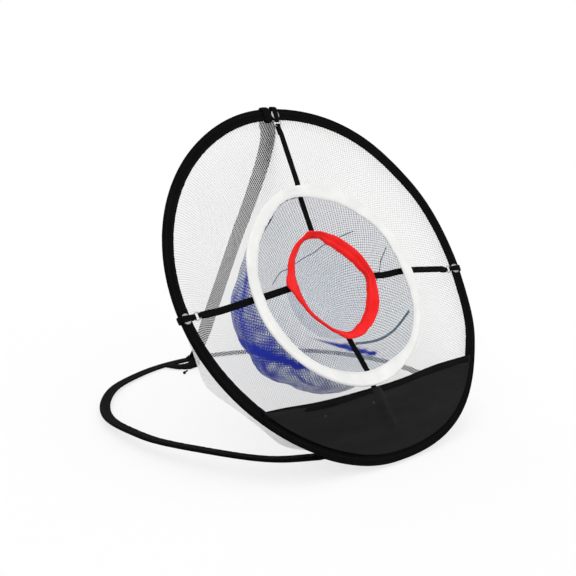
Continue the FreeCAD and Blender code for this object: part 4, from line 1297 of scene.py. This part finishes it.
def make_stay():
    """The stay strap from the top of the target hoop to the base hoop's rear, with its wraps and its knot."""
    strap_low, strap_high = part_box("stay_strap")
    head_x = strap_low.x + STAY_WIDTH / 2
    foot_x = strap_high.x - STAY_WIDTH / 2 + STAY_TIE
    wire = HOOP_R - SLEEVE_BULB
    head_up = sqrt(wire ** 2 - head_x ** 2)
    head = target(head_x, head_up - 1 * MM, -6.2 * MM)
    foot_turn = acos(foot_x / (BASE_R - SLEEVE_BULB))
    outward = base_out(foot_turn)
    ankle = base_spot(foot_turn, 5 * MM, 5.0 * MM)
    chord = ankle - head
    sag = Vector((0, chord.z, -chord.y)).normalized()
    route = [target(head_x, head_up + 4.5 * MM, -5.6 * MM), head]
    for share, across, bow in STAY_LIE:
        route.append(head + chord * share + RIGHT * (across * MM) + sag * (bow * MM))
    route += [ankle, base_spot(foot_turn, -2.5 * MM, 3.8 * MM)]

    def width(share):
        gather = 0.28 * clamp((share - 0.86) / 0.12)
        return STAY_WIDTH * (1.0 + 0.05 * sin(share * 9) - gather)
    side = Vector((cos(STAY_TURN), -sin(STAY_TURN), 0))
    web = ribbon("stay_web", smooth_path(route, 10), side, width, 0.9 * MM, WEBBING, seed=40.0,
                 cup=0.8 * MM, rough=0.8 * MM)
    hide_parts("stay_strap")
    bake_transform(web)

    across, up, _ = flat_place("stay_top_loop")
    turn = atan2(up, across + 5 * MM)
    edge, inner = HOOP_R + HOOP_SHAPE(turn) * MM, SLEEVE_SHAPE(turn) * MM - SLEEVE_BULB
    centre = HOOP_AT + flat_out(turn) * (edge - SLEEVE_BULB)
    path = wrap_path(centre, flat_out(turn), FRONT, 1.4 * MM, inner, 1.2 * MM, inner + 4 * MM, proud=1.0 * MM)
    wrap = ribbon("stay_top_wrap", path, FRONT.cross(flat_out(turn)),
                  lambda share: (11 + cos(tau * share)) * MM, WEB_THICK, WEBBING,
                  closed=True, seed=31.0, rough=0.6 * MM)
    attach(wrap, "target")
    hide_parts("stay_top_loop")

    inner = BASE_WIDTH - BASE_BULB
    path = wrap_path(base_spot(foot_turn), outward, BASE_UP, 0.8 * MM, inner, 1.4 * MM, inner + 6 * MM,
                     proud=1.0 * MM, bulb=BASE_BULB)
    wrap = ribbon("stay_foot_wrap", path, BASE_UP.cross(outward), 20 * MM, 1.4 * MM, WEBBING,
                  closed=True, seed=33.0, rough=1.0 * MM)
    tie = base_spot(foot_turn)
    tail_path = [Vector((tie.x, tie.y, 0)) + Vector(place) * MM for place in TAIL_LIE]
    tail = tube("stay_tail", smooth_path(tail_path, 8),
                lambda share: (4 + 7 * sin(pi * share) ** 0.7 + 1.3 * ripple(share * 16, 1, 35)) * MM,
                WEBBING, 28)
    for vertex in tail.data.vertices:
        vertex.co.z *= TAIL_FLAT * (1 + 0.3 * ripple(vertex.co.x * 260, vertex.co.y * 260, 37))
    for piece in (wrap, tail):
        keep_above_ground(piece)
        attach(piece, "base")
    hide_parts("stay_base_loop")
    make_knot(outward * (base_wire(foot_turn) + BASE_BULB - BASE_R) + KNOT_AWAY)


CORD_R = 1.2 * MM


def make_knot(shift):
    """The knotted end of the stay's cord: a short stub with a wound knot."""
    low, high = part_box("stay_cord_end")
    knot_r = (high.z - low.z) / 2
    shift = Vector((shift.x, shift.y, 0))
    start = Vector((high.x - CORD_R, high.y - CORD_R, knot_r)) + shift
    end = Vector((low.x + knot_r, low.y + knot_r, knot_r)) + shift
    along = (end - start).normalized()
    side = Vector((-along.y, along.x, 0))
    up = Vector((0, 0, 1))
    length = (end - start).length
    rows, uvs = [], []
    for step in range(41):
        run = step / 40 * (length + knot_r)
        off = (run - length) / knot_r
        ball = sqrt(max(0.0, 1 - off ** 2)) * knot_r if abs(off) < 1 else 0.0
        radius = max(CORD_R * (1 if run < length else 0), ball, 0.02 * MM)
        row = []
        for angle in turns(20):
            twist = 1 + 0.10 * sin(3 * angle + run * 1500)
            row.append(start + along * run + (side * cos(angle) + up * sin(angle)) * radius * twist)
        rows.append(row)
        uvs.append(([(run, angle * 1.2 * MM) for angle in turns(20)], (run, tau * 1.2 * MM)))
    piece = weld(grid_piece("stay_knot", rows, uvs, WEBBING, wrap_columns=True))
    keep_above_ground(piece)
    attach(piece, "base")
    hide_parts("stay_cord_end")


# Stage, light and camera

CAMERA_AWAY = Vector((-0.86145, -0.88039, 0.29141))
CAMERA_AZIMUTH = radians(-41.65)
CAMERA_HEIGHT = radians(14.05)
CAMERA_ROLL = radians(2.13)
SENSOR = 36.0
PHOTO = 576
FOCAL_PIXELS = 967.6
CLIP_END = 50


def make_camera():
    """The camera of the photograph."""
    back = Vector((sin(CAMERA_AZIMUTH) * cos(CAMERA_HEIGHT),
                   -cos(CAMERA_AZIMUTH) * cos(CAMERA_HEIGHT), sin(CAMERA_HEIGHT)))
    right = Vector((cos(CAMERA_AZIMUTH), sin(CAMERA_AZIMUTH), 0))
    up = back.cross(right)
    tilted_right = right * cos(CAMERA_ROLL) + up * sin(CAMERA_ROLL)
    tilted_up = up * cos(CAMERA_ROLL) - right * sin(CAMERA_ROLL)
    data = bpy.data.cameras.new("photo_camera")
    data.sensor_width = SENSOR
    data.lens = FOCAL_PIXELS * SENSOR / PHOTO
    data.clip_end = CLIP_END
    camera = add("photo_camera", data)
    turn = Matrix((tilted_right, tilted_up, back)).transposed().to_4x4()
    camera.matrix_world = Matrix.Translation(HOOP_AT + CAMERA_AWAY) @ turn
    bpy.context.scene.camera = camera


FLOOR_HALF = 30
FLOOR_FADE = 0.72
WORLD_LIGHT = 0.72
SUN_LIGHT = 1.15
SUN_SPREAD = radians(75)
SUN_LOOK = Vector((0.45, 0.75, -1.7))


def make_stage():
    """A pale floor, a white backdrop for the camera and soft studio light."""
    mesh = bpy.data.meshes.new("floor")
    corners = ((-1, -1), (1, -1), (1, 1), (-1, 1))
    mesh.from_pydata([(x * FLOOR_HALF, y * FLOOR_HALF, 0) for x, y in corners], [], [(0, 1, 2, 3)])
    floor = add("floor", mesh)
    shader = Shader("floor_white", 0.95, 0.0)
    shader.paint(shader.ramp(shader.noise(3), (0.945,) * 3, (0.955,) * 3))
    camera_ray = shader.node("ShaderNodeLightPath").outputs["Is Camera Ray"]
    shader.show(shader.math("MULTIPLY", camera_ray, FLOOR_FADE), shader.surface.outputs[0],
                shader.node("ShaderNodeEmission").outputs[0])
    mesh.materials.append(shader.material)

    world = bpy.data.worlds.new("studio")
    bpy.context.scene.world = world
    sky = Nodes(world, "ShaderNodeOutputWorld")
    rays = sky.node("ShaderNodeLightPath").outputs
    lit, seen = (sky.node("ShaderNodeBackground", {"Color": (1, 1, 1, 1), "Strength": strength}).outputs[0]
                 for strength in (WORLD_LIGHT, 1.0))
    seen_by = [rays[ray] for ray in ("Is Camera Ray", "Is Glossy Ray", "Is Transmission Ray")]
    sky.show(sky.most(seen_by), lit, seen)

    sun = bpy.data.lights.new("key", "SUN")
    sun.energy = SUN_LIGHT
    sun.angle = SUN_SPREAD
    add("key", sun).rotation_euler = SUN_LOOK.to_track_quat("-Z", "Y").to_euler()


def main():
    """Builds every piece, then the stage."""
    make_camera()
    make_sleeves()
    make_wires()
    make_white_ring()
    make_red_ring()
    make_nets()
    make_apron()
    make_cross_straps()
    make_rim_ends()
    make_stay()
    make_stage()
    bpy.context.scene.view_settings.view_transform = "Standard"


main()
